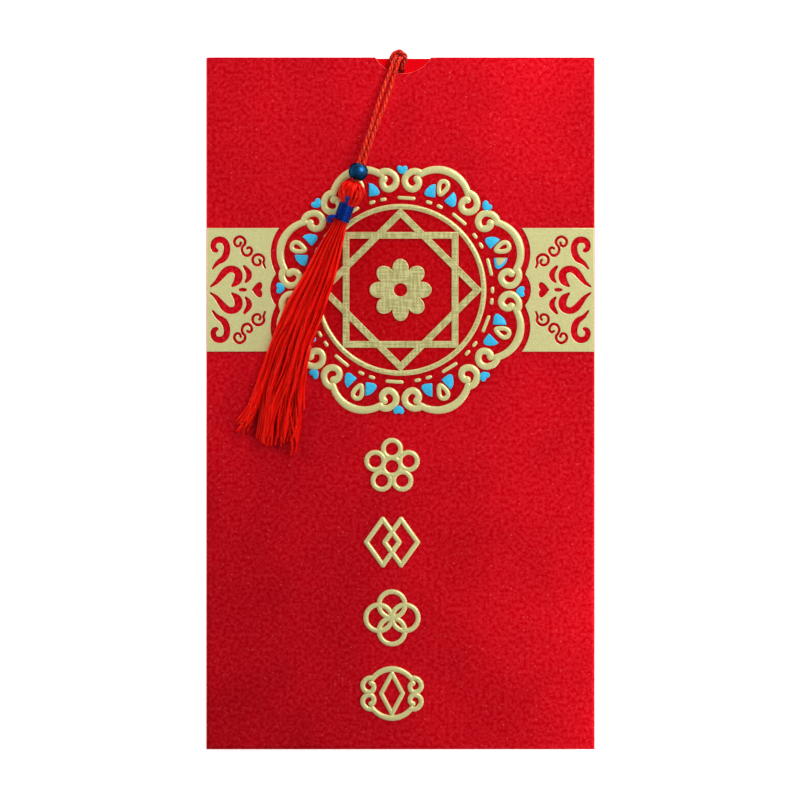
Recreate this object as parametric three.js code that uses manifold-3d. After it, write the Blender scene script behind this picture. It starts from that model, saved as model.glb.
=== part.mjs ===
// A wedding invitation card: a folded pocket sleeve with raised foil ornament,
// a pull-out insert card, and a tassel hitched through a hole in the insert.
// Millimetres. The card lies on its back: +X right, +Y to the open end, +Z up.
import * as THREE from 'three';
import { mergeVertices } from 'three/addons/utils/BufferGeometryUtils.js';
import Module from 'manifold-3d';

const wasm = await Module();
wasm.setup();

// Sleeve
const cardWidth = 105;
const cardHeight = 187;
const boardThickness = 0.5;
const sideFlapWidth = 12;
const bottomFlapHeight = 14;
const flapTaper = 4;
const flapSetback = 0.5;
const notchWidth = 15;
const notchDepth = 4.3;
const notchShift = 0.7;

// Insert card
const insertThickness = 0.8;
const insertSideClearance = 0.5;
const insertEndClearance = 0.5;
const insertTopSetback = 0.3;
const clearanceUnderInsert = 0.5;
const clearanceOverInsert = 0.2;
const cordHoleDiameter = 3.4;
const cordHoleStrip = 1;
const cordHoleShift = -0.5;

// Foil relief on the front
const foilThickness = 0.35;
const medallionFromTop = 62.8;
const ringOuterRadius = 23.1;
const ringStroke = 1.3;
const latticeBar = 1.8;
const latticeOverlap = 0.3;
const rosettePetals = 8;
const rosetteRadius = 8.4;
const rosetteWaist = 5.6;
const rosetteRoundness = 0.7;
const rosetteHole = 1.8;
const lobeCount = 8;
const lobeStroke = 2;
const archAboveCurls = 6.6;
const archSeatAcross = 0.07;
const archSeatDrop = 0.25;
const curlStroke = 1.6;
const curlRadius = 2.3;
const curlGap = 0.32;
const curlToDash = 0.18;
const curlStartAngle = 112;
const curlSweep = 340;
const curlOpening = 0.26;
const curlOpeningShare = 0.2;
const curlClosing = 0.52;
const curlClosingShare = 0.34;
const curlThinning = 0.1;
const heartAboveCurls = 4.3;
const heartTurn = -0.8;
const heartWidth = 2.8;
const heartHeight = 2.3;
const teardropAboveCurls = 1.3;
const teardropWidth = 3.5;
const teardropHeight = 4.9;
const teardropStroke = 1.1;
const teardropTaper = 0.45;
const teardropWidest = 1.09;
const dashCount = 10;
const dashFromRing = 1.28;
const dashLength = 4.9;
const dashTurn = -3.7;
const dashWidth = 0.85;
const bandHeight = 33.4;
const bandEdgeMargin = 0.2;
const bandGap = 1.5;
const bandHeartGap = 2.4;
const bandMiddleRadius = 6.5;
const bandEdgeSteps = 24;
const motifLength = 17.3;
const motifSteps = 12;
const beanFromEdge = 14;
const beanWidth = 4.2;
const beanHeight = 3.1;
const lozengeFromEdge = 9.9;
const lozengeWidth = 2.3;
const lozengeHeight = 1.05;
const ornamentX = -2.3;
const ornamentsBelowMedallion = 47.7;
const ornamentPitch = 20.45;
const ornamentSize = 15.5;
const ornamentStroke = 1.35;
const blossomPetals = 5;
const blossomPetalShare = 0.195;
const linkAcrossShare = 0.34;
const linkAlongShare = 0.47;
const fourRingShare = 0.27;
const cloudOverlap = 0.4;
const cloudLozengeAcross = 0.24;
const cloudLozengeAlong = 0.43;

// Cord, bead and tassel
const cordDiameter = 1.1;
const hitchThickness = 1;
const hitchWidth = 2.2;
const hitchArchWidth = 3.5;
const hitchArchReach = 2.45;
const hitchShoulderShare = 0.72;
const hitchShoulderDrop = 0.7;
const hitchWaistDrop = 0.4;
const hitchLegEase = 0.2;
const hitchLegRise = 0.5;
const seatGap = 0.3;
const strandAside = 0.58;
const foldRadius = 1.05;
const cordLieAngle = 19;
const beadDiameter = 5.2;
const beadFromFold = 33.4;
const beadBoreClearance = 0.2;
const headDiameter = 6;
const neckDiameter = 3.3;
const bindingTurns = 5;
const bindingThread = 0.42;
const bindingPitch = 0.86;
const bindingSeat = 0.1;
const bindingSteps = 24;
const upperTailLength = 1.9;
const upperTailLean = 0.75;
const lowerTailLength = 2.6;
const lowerTailRise = 0.1;
const tailSlope = 0.2;
const skirtLength = 64;
const skirtRings = 17;
const skirtSides = 44;
const skirtFlutes = 11;
const fluteDepth = 0.07;
const raggedReach = 0.965;
const raggedWave = 0.035;
const raggedTeeth = 0.014;
const skirtEndInset = 3;

// Heights of the layers, from the table up
const backTop = boardThickness;
const flapTop = backTop + boardThickness;
const insertBottom = flapTop + clearanceUnderInsert;
const insertTop = insertBottom + insertThickness;
const frontBottom = insertTop + clearanceOverInsert;
const frontTop = frontBottom + boardThickness;
const foilTop = frontTop + foilThickness;

const halfWidth = cardWidth / 2;
const halfHeight = cardHeight / 2;
const insertTopY = halfHeight - insertTopSetback;
const insertBottomY = -halfHeight + boardThickness + insertEndClearance;
const insertHalfWidth = halfWidth - boardThickness - insertSideClearance;
const cordHoleY = insertTopY - cordHoleStrip - cordHoleDiameter / 2;

const degrees = THREE.MathUtils.degToRad;

// The medallion from the ring outwards, as distances from its centre
const medallionCentreY = halfHeight - medallionFromTop;
const dashRadius = ringOuterRadius + dashFromRing + dashWidth / 2;
const curlsRadius = dashRadius + dashWidth / 2 + curlToDash + curlStroke / 2 + curlRadius;
const teardropRadius = curlsRadius + teardropAboveCurls;
const heartRadius = curlsRadius + heartAboveCurls;
const lobeTopRadius = curlsRadius + archAboveCurls;
const bandMiddleReach = heartRadius + bandHeartGap;

// Neighbouring lobes' curls keep their gap on either side of the line between them
const lobeHalfAngle = Math.PI / lobeCount;
const curlFromLine = curlRadius + curlStroke / 2 + curlGap;
const curlAcross = (curlsRadius * Math.sin(lobeHalfAngle) - curlFromLine) / Math.cos(lobeHalfAngle);

// Each arch ends where its curls begin
const curlStartRadius = curlRadius * (1 + curlOpening);
const archHalfChord = curlAcross + curlStartRadius * Math.cos(degrees(curlStartAngle)) - archSeatAcross;
const archRise = archAboveCurls - lobeStroke / 2
  - curlStartRadius * Math.sin(degrees(curlStartAngle)) + archSeatDrop;
const archRadius = (archHalfChord ** 2 + archRise ** 2) / (2 * archRise);
const archHalfAngle = Math.asin(archHalfChord / archRadius);
const archCentreRadius = lobeTopRadius - lobeStroke / 2 - archRadius;

// Finishes
const finish = (color, roughness, metalness = 0) =>
  new THREE.MeshStandardMaterial({ color, roughness, metalness });
const pearlRed = finish(0xc01020, 0.45);
const insideRed = finish(0x9c0c18, 0.7);
const brightRed = finish(0xe6081a, 0.5);
const goldFoil = finish(0xd2c88c, 0.4, 0.6);
const blueInk = finish(0x35b8ee, 0.5);
const redThread = finish(0xd81a10, 0.6);
const blueThread = finish(0x142a90, 0.45);
const navyPearl = finish(0x12264a, 0.2);

const card = new THREE.Group();

function addMesh(parent, name, geometry, material) {
  const mesh = new THREE.Mesh(geometry, material);
  mesh.name = name;
  parent.add(mesh);
  return mesh;
}

// Closed solids in and out of the boolean library
function toSolid(geometry) {
  const bare = new THREE.BufferGeometry();
  bare.setAttribute('position', geometry.getAttribute('position').clone());
  if (geometry.index) bare.setIndex(geometry.index.clone());
  const merged = mergeVertices(bare, 1e-4);
  return new wasm.Manifold(new wasm.Mesh({
    numProp: 3,
    vertProperties: new Float32Array(merged.getAttribute('position').array),
    triVerts: new Uint32Array(merged.index.array),
  }));
}

function toGeometry(solid) {
  const mesh = solid.getMesh();
  const geometry = new THREE.BufferGeometry();
  geometry.setAttribute('position', new THREE.BufferAttribute(mesh.vertProperties, 3));
  geometry.setIndex(new THREE.BufferAttribute(mesh.triVerts, 1));
  geometry.computeVertexNormals();
  return geometry;
}

function join(geometries) {
  const solids = geometries.map(toSolid);
  return toGeometry(solids.reduce((whole, next) => whole.add(next)));
}

// A flat piece of the given outline between two heights
function slab(shape, bottom, top, curveSegments = 8) {
  const geometry = new THREE.ExtrudeGeometry(shape, {
    depth: top - bottom,
    bevelEnabled: false,
    curveSegments,
  });
  geometry.translate(0, 0, bottom);
  return geometry;
}

const foil = (shape, curveSegments = 8) => slab(shape, frontTop, foilTop, curveSegments);

function rectangle(left, bottom, right, top) {
  return new THREE.Shape([
    new THREE.Vector2(left, bottom),
    new THREE.Vector2(right, bottom),
    new THREE.Vector2(right, top),
    new THREE.Vector2(left, top),
  ]);
}

function ring(outer, inner) {
  const shape = new THREE.Shape();
  shape.absarc(0, 0, outer, 0, 2 * Math.PI, false);
  shape.holes.push(circlePath(0, 0, inner));
  return shape;
}

function circlePath(x, y, radius) {
  const path = new THREE.Path();
  path.absarc(x, y, radius, 0, 2 * Math.PI, true);
  return path;
}

function polygon(count, pointAt) {
  const points = Array.from({ length: count }, (_, i) => pointAt((2 * Math.PI * i) / count));
  return new THREE.Shape(points);
}

// A stroke of changing width along a flat curve, with pointed or rounded ends
function stroke(curve, widthAt, steps) {
  const left = [];
  const right = [];
  for (let i = 0; i <= steps; i += 1) {
    const t = i / steps;
    const point = curve.getPoint(t);
    const tangent = curve.getTangent(t);
    const side = new THREE.Vector2(-tangent.y, tangent.x).multiplyScalar(widthAt(t) / 2);
    left.push(new THREE.Vector2(point.x + side.x, point.y + side.y));
    right.unshift(new THREE.Vector2(point.x - side.x, point.y - side.y));
  }
  const cap = (t, sign) => {
    const point = curve.getPoint(t);
    const tangent = curve.getTangent(t).multiplyScalar((sign * widthAt(t)) / 2);
    return new THREE.Vector2(point.x + tangent.x, point.y + tangent.y);
  };
  return new THREE.Shape([...left, cap(1, 1), ...right, cap(0, -1)]);
}

// Sleeve panels with the thumb notch cut in the open end
function panelShape() {
  const chord = notchWidth / 2;
  const radius = (chord * chord + notchDepth * notchDepth) / (2 * notchDepth);
  const centreY = halfHeight - notchDepth + radius;
  const start = Math.atan2(halfHeight - centreY, chord);
  const shape = new THREE.Shape();
  shape.moveTo(-halfWidth, -halfHeight);
  shape.lineTo(halfWidth, -halfHeight);
  shape.lineTo(halfWidth, halfHeight);
  shape.absarc(notchShift, centreY, radius, start, Math.PI - start, true);
  shape.lineTo(-halfWidth, halfHeight);
  return shape;
}

function addSleeve() {
  const innerLeft = -halfWidth + boardThickness;
  const innerRight = halfWidth - boardThickness;
  const innerBottom = -halfHeight + boardThickness;
  addMesh(card, 'back_panel', slab(panelShape(), 0, backTop), pearlRed);
  addMesh(card, 'front_panel', slab(panelShape(), frontBottom, frontTop), pearlRed);
  addMesh(card, 'left_spine',
    slab(rectangle(-halfWidth, -halfHeight, innerLeft, halfHeight), backTop, frontBottom), pearlRed);
  addMesh(card, 'right_spine',
    slab(rectangle(innerRight, -halfHeight, halfWidth, halfHeight), backTop, frontBottom), pearlRed);
  addMesh(card, 'bottom_fold',
    slab(rectangle(innerLeft, -halfHeight, innerRight, innerBottom), backTop, frontBottom), pearlRed);

  const flapLeft = innerRight - sideFlapWidth;
  const sideFlap = new THREE.Shape([
    new THREE.Vector2(innerRight, innerBottom),
    new THREE.Vector2(innerRight, halfHeight - flapSetback),
    new THREE.Vector2(flapLeft, halfHeight - flapSetback - flapTaper),
    new THREE.Vector2(flapLeft, innerBottom + flapTaper),
  ]);
  addMesh(card, 'side_glue_flap', slab(sideFlap, backTop, flapTop), insideRed);

  const bottomRight = flapLeft - flapSetback;
  const bottomFlap = new THREE.Shape([
    new THREE.Vector2(innerLeft + flapSetback, innerBottom),
    new THREE.Vector2(bottomRight, innerBottom),
    new THREE.Vector2(bottomRight - flapTaper, innerBottom + bottomFlapHeight),
    new THREE.Vector2(innerLeft + flapSetback + flapTaper, innerBottom + bottomFlapHeight),
  ]);
  addMesh(card, 'bottom_glue_flap', slab(bottomFlap, backTop, flapTop), insideRed);
}

function addInsert() {
  const shape = rectangle(-insertHalfWidth, insertBottomY, insertHalfWidth, insertTopY);
  shape.holes.push(circlePath(cordHoleShift, cordHoleY, cordHoleDiameter / 2));
  addMesh(card, 'insert_card', slab(shape, insertBottom, insertTop), brightRed);
}

// Ring with an eight-pointed star lattice, and a rosette in the middle
function squareFrame(half) {
  const shape = rectangle(-half, -half, half, half);
  const inner = half - latticeBar;
  shape.holes.push(new THREE.Path(rectangle(-inner, -inner, inner, inner).getPoints().reverse()));
  return foil(shape);
}

function addMedallionCentre() {
  const ringInner = ringOuterRadius - ringStroke;
  const starHalf = (ringInner + latticeOverlap) / Math.SQRT2;
  const lattice = join([
    foil(ring(ringOuterRadius, ringInner), 20),
    squareFrame(starHalf),
    squareFrame(starHalf).rotateZ(Math.PI / 4),
  ]);
  addMesh(card, 'medallion_ring', lattice, goldFoil).position.y = medallionCentreY;

  const petals = polygon(6 * rosettePetals, (angle) => {
    const swell = Math.abs(Math.cos((rosettePetals / 2) * angle)) ** rosetteRoundness;
    const radius = rosetteWaist + (rosetteRadius - rosetteWaist) * swell;
    return new THREE.Vector2(radius * Math.cos(angle), radius * Math.sin(angle));
  });
  petals.holes.push(circlePath(0, 0, rosetteHole));
  addMesh(card, 'medallion_rosette', foil(petals, 6), goldFoil).position.y = medallionCentreY;
}

// One scroll lobe: an arch whose two ends curl inward, its top on +Y
class CurlCurve extends THREE.Curve {
  constructor(side) {
    super();
    this.side = side;
  }

  getPoint(t, target = new THREE.Vector3()) {
    const angle = degrees(curlStartAngle - curlSweep * t);
    const opening = curlOpening * Math.max(0, 1 - t / curlOpeningShare);
    const closing = curlClosing * Math.max(0, 1 - (1 - t) / curlClosingShare);
    const radius = curlRadius * (1 + opening - closing);
    const x = curlAcross + radius * Math.cos(angle);
    return target.set(this.side * x, curlsRadius + radius * Math.sin(angle), 0);
  }
}

function lobeGeometry() {
  const from = Math.PI / 2 + archHalfAngle;
  const to = Math.PI / 2 - archHalfAngle;
  const arch = new THREE.EllipseCurve(0, archCentreRadius, archRadius, archRadius, from, to, true);
  const archWidth = (t) => lobeStroke - (lobeStroke - curlStroke) * Math.abs(2 * t - 1);
  const curlWidth = (t) => curlStroke * (1 - curlThinning * t);
  return join([
    foil(stroke(arch, archWidth, 8)),
    foil(stroke(new CurlCurve(1), curlWidth, 12)),
    foil(stroke(new CurlCurve(-1), curlWidth, 12)),
  ]);
}

function heartShape(width, height) {
  return polygon(14, (angle) => {
    const x = Math.sin(angle) ** 3;
    const y = (13 * Math.cos(angle) - 5 * Math.cos(2 * angle) - 2 * Math.cos(3 * angle)) / 29;
    return new THREE.Vector2((-x * width) / 2, y * height);
  });
}

function teardropShape() {
  const outline = (inset) => {
    const halfAcross = teardropWidth / 2 - inset;
    const halfAlong = teardropHeight / 2 - inset;
    return (angle) => new THREE.Vector2(
      (halfAcross / teardropWidest) * Math.cos(angle) * (1 + teardropTaper * Math.sin(angle)),
      halfAlong * Math.sin(angle),
    );
  };
  const shape = polygon(14, outline(0));
  const hole = polygon(10, outline(teardropStroke)).getPoints().reverse();
  shape.holes.push(new THREE.Path(hole));
  return shape;
}

// A radial copy about the medallion's centre, at an angle from straight up
function addRadial(name, geometry, material, angle, radius) {
  const mesh = addMesh(card, name, geometry, material);
  mesh.position.set(-radius * Math.sin(angle), medallionCentreY + radius * Math.cos(angle), 0);
  mesh.rotation.z = angle;
}

function addMedallionBorder() {
  const lobe = lobeGeometry();
  const heart = foil(heartShape(heartWidth, heartHeight));
  const teardrop = foil(teardropShape());
  const halfStraight = (dashLength - dashWidth) / 2;
  const dashLine = new THREE.LineCurve(
    new THREE.Vector2(-halfStraight, 0),
    new THREE.Vector2(halfStraight, 0),
  );
  const dash = foil(stroke(dashLine, () => dashWidth, 1));
  for (let i = 0; i < lobeCount; i += 1) {
    const between = (2 * Math.PI * i) / lobeCount;
    const centre = between + Math.PI / lobeCount;
    addRadial(`scroll_lobe_${i + 1}`, lobe, goldFoil, centre, 0);
    addRadial(`teardrop_${i + 1}`, teardrop, goldFoil, centre, teardropRadius);
    addRadial(`heart_${i + 1}`, heart, blueInk, between + degrees(heartTurn), heartRadius);
  }
  for (let i = 0; i < dashCount; i += 1) {
    const angle = (2 * Math.PI * i) / dashCount + degrees(dashTurn);
    addRadial(`ring_dash_${i + 1}`, dash, goldFoil, angle, dashRadius);
  }
}

// Red motifs left open in the gold side bands, upper half of the right side.
// Each stroke lists its distance in from the card's edge, its height above the
// band's middle and its width there. The drawing is stretched to fill the band.
const bandLeaf = [
  [10.2, 6.4, 0.5], [11.45, 4.7, 1.3], [11.5, 3.3, 1.2], [10.6, 2, 0.4],
];
const bandHeartHook = [
  [6.9, 0.9, 0.3], [8.4, 2.3, 1.8], [8.8, 4, 1.9], [8, 5.3, 1.7], [6.4, 5.6, 1.6],
  [5.1, 4.9, 1.7], [3.9, 3.5, 1.4], [2.7, 2, 0.9], [1.1, 0.8, 0.25],
];
const bandComma = [
  [1.7, 5.6, 0.25], [3, 7.2, 0.9], [4.7, 8.4, 1.5], [5.5, 10, 1.6], [5.6, 11.8, 1.5],
  [4.9, 13.1, 1.5], [3.7, 13.55, 1.5], [2.4, 13.1, 1.4], [1.9, 11.9, 1.3],
  [2.2, 10.9, 1.2], [3, 10.5, 0.8],
];

const motifStretch = (halfWidth - bandMiddleReach) / motifLength;
const onBand = (side, half) => (point) =>
  new THREE.Vector2(side * (halfWidth - point.x * motifStretch), half * point.y);

function motifOutline(points) {
  const line = new THREE.SplineCurve(points.map(([x, y]) => new THREE.Vector2(x, y)));
  const widthAt = (t) => {
    const place = t * (points.length - 1);
    const index = Math.min(Math.floor(place), points.length - 2);
    return THREE.MathUtils.lerp(points[index][2], points[index + 1][2], place - index);
  };
  return stroke(line, widthAt, motifSteps).getPoints();
}

function bandShape(side) {
  const half = bandHeight / 2;
  const lobeX = archCentreRadius * Math.cos(lobeHalfAngle);
  const lobeY = archCentreRadius * Math.sin(lobeHalfAngle);
  const lobeRadius = archRadius + lobeStroke / 2 + bandGap;
  const middleX = bandMiddleReach - bandMiddleRadius;
  const reachAt = (y) => {
    const beside = Math.max(0, lobeRadius ** 2 - (Math.abs(y) - lobeY) ** 2);
    const middle = Math.max(0, bandMiddleRadius ** 2 - y * y);
    return Math.max(lobeX + Math.sqrt(beside), middleX + Math.sqrt(middle));
  };
  const outer = halfWidth - bandEdgeMargin;
  const points = [new THREE.Vector2(side * outer, -half), new THREE.Vector2(side * outer, half)];
  for (let i = 0; i <= bandEdgeSteps; i += 1) {
    const y = half - (bandHeight * i) / bandEdgeSteps;
    points.push(new THREE.Vector2(side * reachAt(y), y));
  }
  const shape = new THREE.Shape(points);
  const addHole = (drawn, up) => {
    const outline = drawn.map(onBand(side, up));
    const clockwise = THREE.ShapeUtils.isClockWise(outline);
    const flip = clockwise === THREE.ShapeUtils.isClockWise(points);
    shape.holes.push(new THREE.Path(flip ? outline.reverse() : outline));
  };
  for (const up of [1, -1]) {
    addHole(motifOutline(bandLeaf), up);
    addHole(motifOutline(bandHeartHook), up);
    addHole(motifOutline(bandComma), up);
  }
  const bean = heartShape(beanWidth, beanHeight).getPoints();
  addHole(bean.map((point) => new THREE.Vector2(beanFromEdge + point.y, point.x)), 1);
  addHole(polygon(8, (angle) => new THREE.Vector2(
    lozengeFromEdge + (lozengeWidth / 2) * Math.cos(angle),
    (lozengeHeight / 2) * Math.sin(angle),
  )).getPoints(), 1);
  return shape;
}

function addBands() {
  addMesh(card, 'foil_band_left', foil(bandShape(-1)), goldFoil).position.y = medallionCentreY;
  addMesh(card, 'foil_band_right', foil(bandShape(1)), goldFoil).position.y = medallionCentreY;
}

// Four embossed ornaments in a column below the medallion
function ringAt(x, y, radius, segments = 9) {
  return foil(ring(radius, radius - ornamentStroke), segments).translate(x, y, 0);
}

function lozengeAt(x, y, halfAcross, halfAlong) {
  const corners = (scale) => [
    new THREE.Vector2(halfAcross * scale, 0),
    new THREE.Vector2(0, halfAlong * scale),
    new THREE.Vector2(-halfAcross * scale, 0),
    new THREE.Vector2(0, -halfAlong * scale),
  ];
  const shape = new THREE.Shape(corners(1));
  const inner = 1 - (ornamentStroke * Math.hypot(halfAcross, halfAlong)) / (halfAcross * halfAlong);
  shape.holes.push(new THREE.Path(corners(inner).reverse()));
  return foil(shape).translate(x, y, 0);
}

function blossom() {
  const petalRadius = blossomPetalShare * ornamentSize;
  const reach = ornamentSize / 2 - petalRadius;
  const pieces = [ringAt(0, 0, reach - petalRadius + ornamentStroke, 7)];
  for (let i = 0; i < blossomPetals; i += 1) {
    const angle = Math.PI / 2 + (2 * Math.PI * i) / blossomPetals;
    pieces.push(ringAt(reach * Math.cos(angle), reach * Math.sin(angle), petalRadius, 7));
  }
  return join(pieces);
}

function linkedLozenges() {
  const across = linkAcrossShare * ornamentSize;
  const shift = ornamentSize / 2 - across;
  const along = linkAlongShare * ornamentSize;
  return join([lozengeAt(-shift, 0, across, along), lozengeAt(shift, 0, across, along)]);
}

function fourRings() {
  const radius = fourRingShare * ornamentSize;
  const reach = ornamentSize / 2 - radius;
  return join([
    ringAt(0, reach, radius),
    ringAt(reach, 0, radius),
    ringAt(0, -reach, radius),
    ringAt(-reach, 0, radius),
  ]);
}

function cloudPair() {
  const lowest = curlsRadius - curlRadius - curlStroke / 2;
  const tall = 2 * (lobeTopRadius - lowest);
  const scale = ornamentSize / tall;
  const upper = lobeGeometry().translate(0, -lowest - cloudOverlap, 0).scale(scale, scale, 1);
  const lower = upper.clone().rotateZ(Math.PI);
  const middle = lozengeAt(0, 0, cloudLozengeAcross * ornamentSize, cloudLozengeAlong * ornamentSize);
  return join([upper, lower, middle]);
}

function addOrnaments() {
  const firstOrnamentY = medallionCentreY - ornamentsBelowMedallion;
  [blossom, linkedLozenges, fourRings, cloudPair].forEach((shape, i) => {
    const mesh = addMesh(card, `ornament_${i + 1}`, shape(), goldFoil);
    mesh.position.set(ornamentX, firstOrnamentY - i * ornamentPitch, 0);
  });
}

// Cord tubes: a section with the given half sizes swept along a curve
function tube(curve, halfAcross, halfThick, steps, sides = 8) {
  const section = polygon(sides, (angle) => new THREE.Vector2(
    halfThick * Math.cos(angle),
    halfAcross * Math.sin(angle),
  ));
  return new THREE.ExtrudeGeometry(section, { steps, bevelEnabled: false, extrudePath: curve });
}

const cordTop = insertTop + seatGap / 2 + hitchThickness;
const pivotY = insertTopY + seatGap + cordDiameter / 2;
const pivotZ = cordTop + seatGap + foldRadius;
const axisHeight = foilTop + seatGap + headDiameter / 2;

// The loop of cord that grips the strip between the hole and the insert's edge:
// an arch on the front, and the doubled cord up the back and over the edge
function addHitch() {
  const legZ = insertTop + seatGap / 2 + hitchThickness / 2;
  const backZ = insertBottom - seatGap - hitchThickness / 2;
  const legY = cordHoleY - seatGap / 3;
  const apexY = insertTopY + hitchArchReach - cordDiameter / 2;
  const halfArch = hitchArchWidth / 2;
  const halfLeg = hitchWidth / 2 - hitchThickness / 3;
  const arch = new THREE.CatmullRomCurve3([
    new THREE.Vector3(-halfLeg, legY, backZ),
    new THREE.Vector3(-halfLeg, legY, (insertBottom + insertTop) / 2),
    new THREE.Vector3(-halfLeg - hitchLegEase, legY + hitchLegRise, legZ),
    new THREE.Vector3(-halfArch, insertTopY - hitchWaistDrop, legZ),
    new THREE.Vector3(-halfArch * hitchShoulderShare, apexY - hitchShoulderDrop, legZ),
    new THREE.Vector3(0, apexY, legZ),
    new THREE.Vector3(halfArch * hitchShoulderShare, apexY - hitchShoulderDrop, legZ),
    new THREE.Vector3(halfArch, insertTopY - hitchWaistDrop, legZ),
    new THREE.Vector3(halfLeg + hitchLegEase, legY + hitchLegRise, legZ),
    new THREE.Vector3(halfLeg, legY, (insertBottom + insertTop) / 2),
    new THREE.Vector3(halfLeg, legY, backZ),
  ]);
  const overY = insertTopY + seatGap + hitchThickness / 2;
  const back = slab(
    rectangle(-hitchWidth / 2, legY - hitchThickness / 2, hitchWidth / 2, overY + hitchThickness / 2),
    backZ - hitchThickness / 2, backZ + hitchThickness / 2,
  );
  const over = slab(
    rectangle(-hitchWidth / 2, overY - hitchThickness / 2, hitchWidth / 2, apexY),
    backZ - hitchThickness / 2, legZ,
  );
  const hitch = join([tube(arch, hitchThickness / 2, hitchThickness / 2, 26), back, over]);
  addMesh(card, 'cord_hitch', hitch, redThread).position.x = cordHoleShift;
}

// Everything on the free cord lies along the group's -Y from the fold
const lying = new THREE.Group();
lying.position.set(cordHoleShift, pivotY, 0);
lying.rotation.z = -degrees(cordLieAngle);
card.add(lying);

// Stations of each strand: distance from the fold, rise from the fold's height
// to the bead's as a share, and how far it bows from where it lies in the bead
const strandStations = [
  [1.4, 0, 0], [3, 0, 0.02], [5, 0.02, 0.08], [7, 0.07, 0.14], [9, 0.16, 0.22],
  [11, 0.3, 0.28], [13, 0.48, 0.3], [15, 0.68, 0.26], [17, 0.85, 0.18], [19, 0.96, 0.1],
  [21, 1, 0.03], [23, 1, 0], [26, 1, 0], [30, 1, 0], [33, 1, 0], [36.1, 1, 0],
];

function addStrands() {
  const last = strandStations[strandStations.length - 1];
  const strandEnd = beadFromFold + beadDiameter / 2;
  const stretch = strandEnd / last[0];
  for (const [name, side] of [['cord_strand_left', -1], ['cord_strand_right', 1]]) {
    const route = new THREE.CatmullRomCurve3(strandStations.map(([along, rise, bow]) =>
      new THREE.Vector3(
        side * (strandAside + bow),
        -Math.max(along * stretch, foldRadius + seatGap),
        THREE.MathUtils.lerp(pivotZ, axisHeight, rise),
      )));
    addMesh(lying, name, tube(route, cordDiameter / 2, cordDiameter / 2, 16), redThread);
  }
  const fold = new THREE.SphereGeometry(foldRadius, 14, 8);
  addMesh(lying, 'cord_fold', fold, redThread).position.z = pivotZ;
}

// Turned pieces: the profile runs along the cord, from the fold's side down
function turned(profile, segments) {
  const points = profile.map(([radius, along]) => new THREE.Vector2(radius, -along));
  return new THREE.LatheGeometry(points.reverse(), segments);
}

function addBead() {
  const radius = beadDiameter / 2;
  const bore = strandAside + cordDiameter / 2 + beadBoreClearance;
  const start = Math.asin(bore / radius);
  const profile = [];
  const steps = 10;
  for (let i = 0; i <= steps; i += 1) {
    const angle = start + ((Math.PI - 2 * start) * i) / steps;
    profile.push([radius * Math.sin(angle), -radius * Math.cos(angle)]);
  }
  profile.push(profile[0]);
  const mesh = addMesh(lying, 'bead', turned(profile, 20), navyPearl);
  mesh.position.set(0, -beadFromFold, axisHeight);
}

const headCentre = beadFromFold + beadDiameter / 2 + seatGap + headDiameter / 2;
const neckRadius = neckDiameter / 2;
const bindingTop = headCentre + headDiameter / 2 + bindingThread;
const bindingLength = bindingTurns * bindingPitch;
const neckEnd = bindingTop + bindingLength + bindingThread;

// Head of folded threads with the neck that the binding grips
function addHead() {
  const radius = headDiameter / 2;
  const meets = Math.PI - Math.asin(neckRadius / radius);
  const profile = [];
  const steps = 9;
  for (let i = 0; i <= steps; i += 1) {
    const angle = (meets * i) / steps;
    profile.push([radius * Math.sin(angle), -radius * Math.cos(angle)]);
  }
  profile.push([neckRadius, neckEnd - headCentre], [0, neckEnd - headCentre]);
  profile[0][0] = 0;
  const mesh = addMesh(lying, 'tassel_head', turned(profile, 18), redThread);
  mesh.position.set(0, -headCentre, axisHeight);
}

// Thread wound round the neck as one unbroken tube, with its two loose tails
function bindingRoute() {
  const radius = neckRadius + bindingSeat + bindingThread / 2;
  const count = bindingTurns * bindingSteps;
  const pointAt = (i) => {
    const angle = (2 * Math.PI * i) / bindingSteps;
    return new THREE.Vector3(
      radius * Math.sin(angle),
      -(bindingTop + (bindingPitch * i) / bindingSteps),
      radius * Math.cos(angle),
    );
  };
  const wound = Array.from({ length: count + 1 }, (_, i) => pointAt(i));
  const rise = headDiameter / 2 + bindingThread - radius;
  const first = wound[0];
  const last = wound[count];
  const upper = [1, 0.5].map((share) => new THREE.Vector3(
    first.x - upperTailLean * upperTailLength * share,
    first.y + tailSlope * upperTailLength * share,
    first.z + rise * share,
  ));
  const lower = [0.5, 1].map((share) => new THREE.Vector3(
    last.x + lowerTailLength * share,
    last.y - tailSlope * lowerTailLength * share,
    last.z + lowerTailRise * lowerTailLength * share,
  ));
  return [...upper, ...wound, ...lower];
}

function tubeThrough(points, radius, sides) {
  const positions = [];
  const index = [];
  const up = new THREE.Vector3(0, 1, 0);
  points.forEach((point, i) => {
    const before = points[Math.max(i - 1, 0)];
    const after = points[Math.min(i + 1, points.length - 1)];
    const along = after.clone().sub(before).normalize();
    const across = new THREE.Vector3().crossVectors(along, up).normalize();
    const over = new THREE.Vector3().crossVectors(across, along);
    for (let j = 0; j < sides; j += 1) {
      const angle = (2 * Math.PI * j) / sides;
      const place = point.clone()
        .addScaledVector(across, radius * Math.cos(angle))
        .addScaledVector(over, radius * Math.sin(angle));
      positions.push(place.x, place.y, place.z);
    }
  });
  const last = (points.length - 1) * sides;
  for (let i = 0; i < points.length - 1; i += 1) {
    for (let j = 0; j < sides; j += 1) {
      const a = i * sides + j;
      const b = i * sides + ((j + 1) % sides);
      index.push(a, a + sides, b, b, a + sides, b + sides);
    }
  }
  for (let j = 1; j < sides - 1; j += 1) {
    index.push(0, j, j + 1);
    index.push(last, last + j + 1, last + j);
  }
  const geometry = new THREE.BufferGeometry();
  geometry.setAttribute('position', new THREE.Float32BufferAttribute(positions, 3));
  geometry.setIndex(index);
  geometry.computeVertexNormals();
  return geometry;
}

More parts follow.
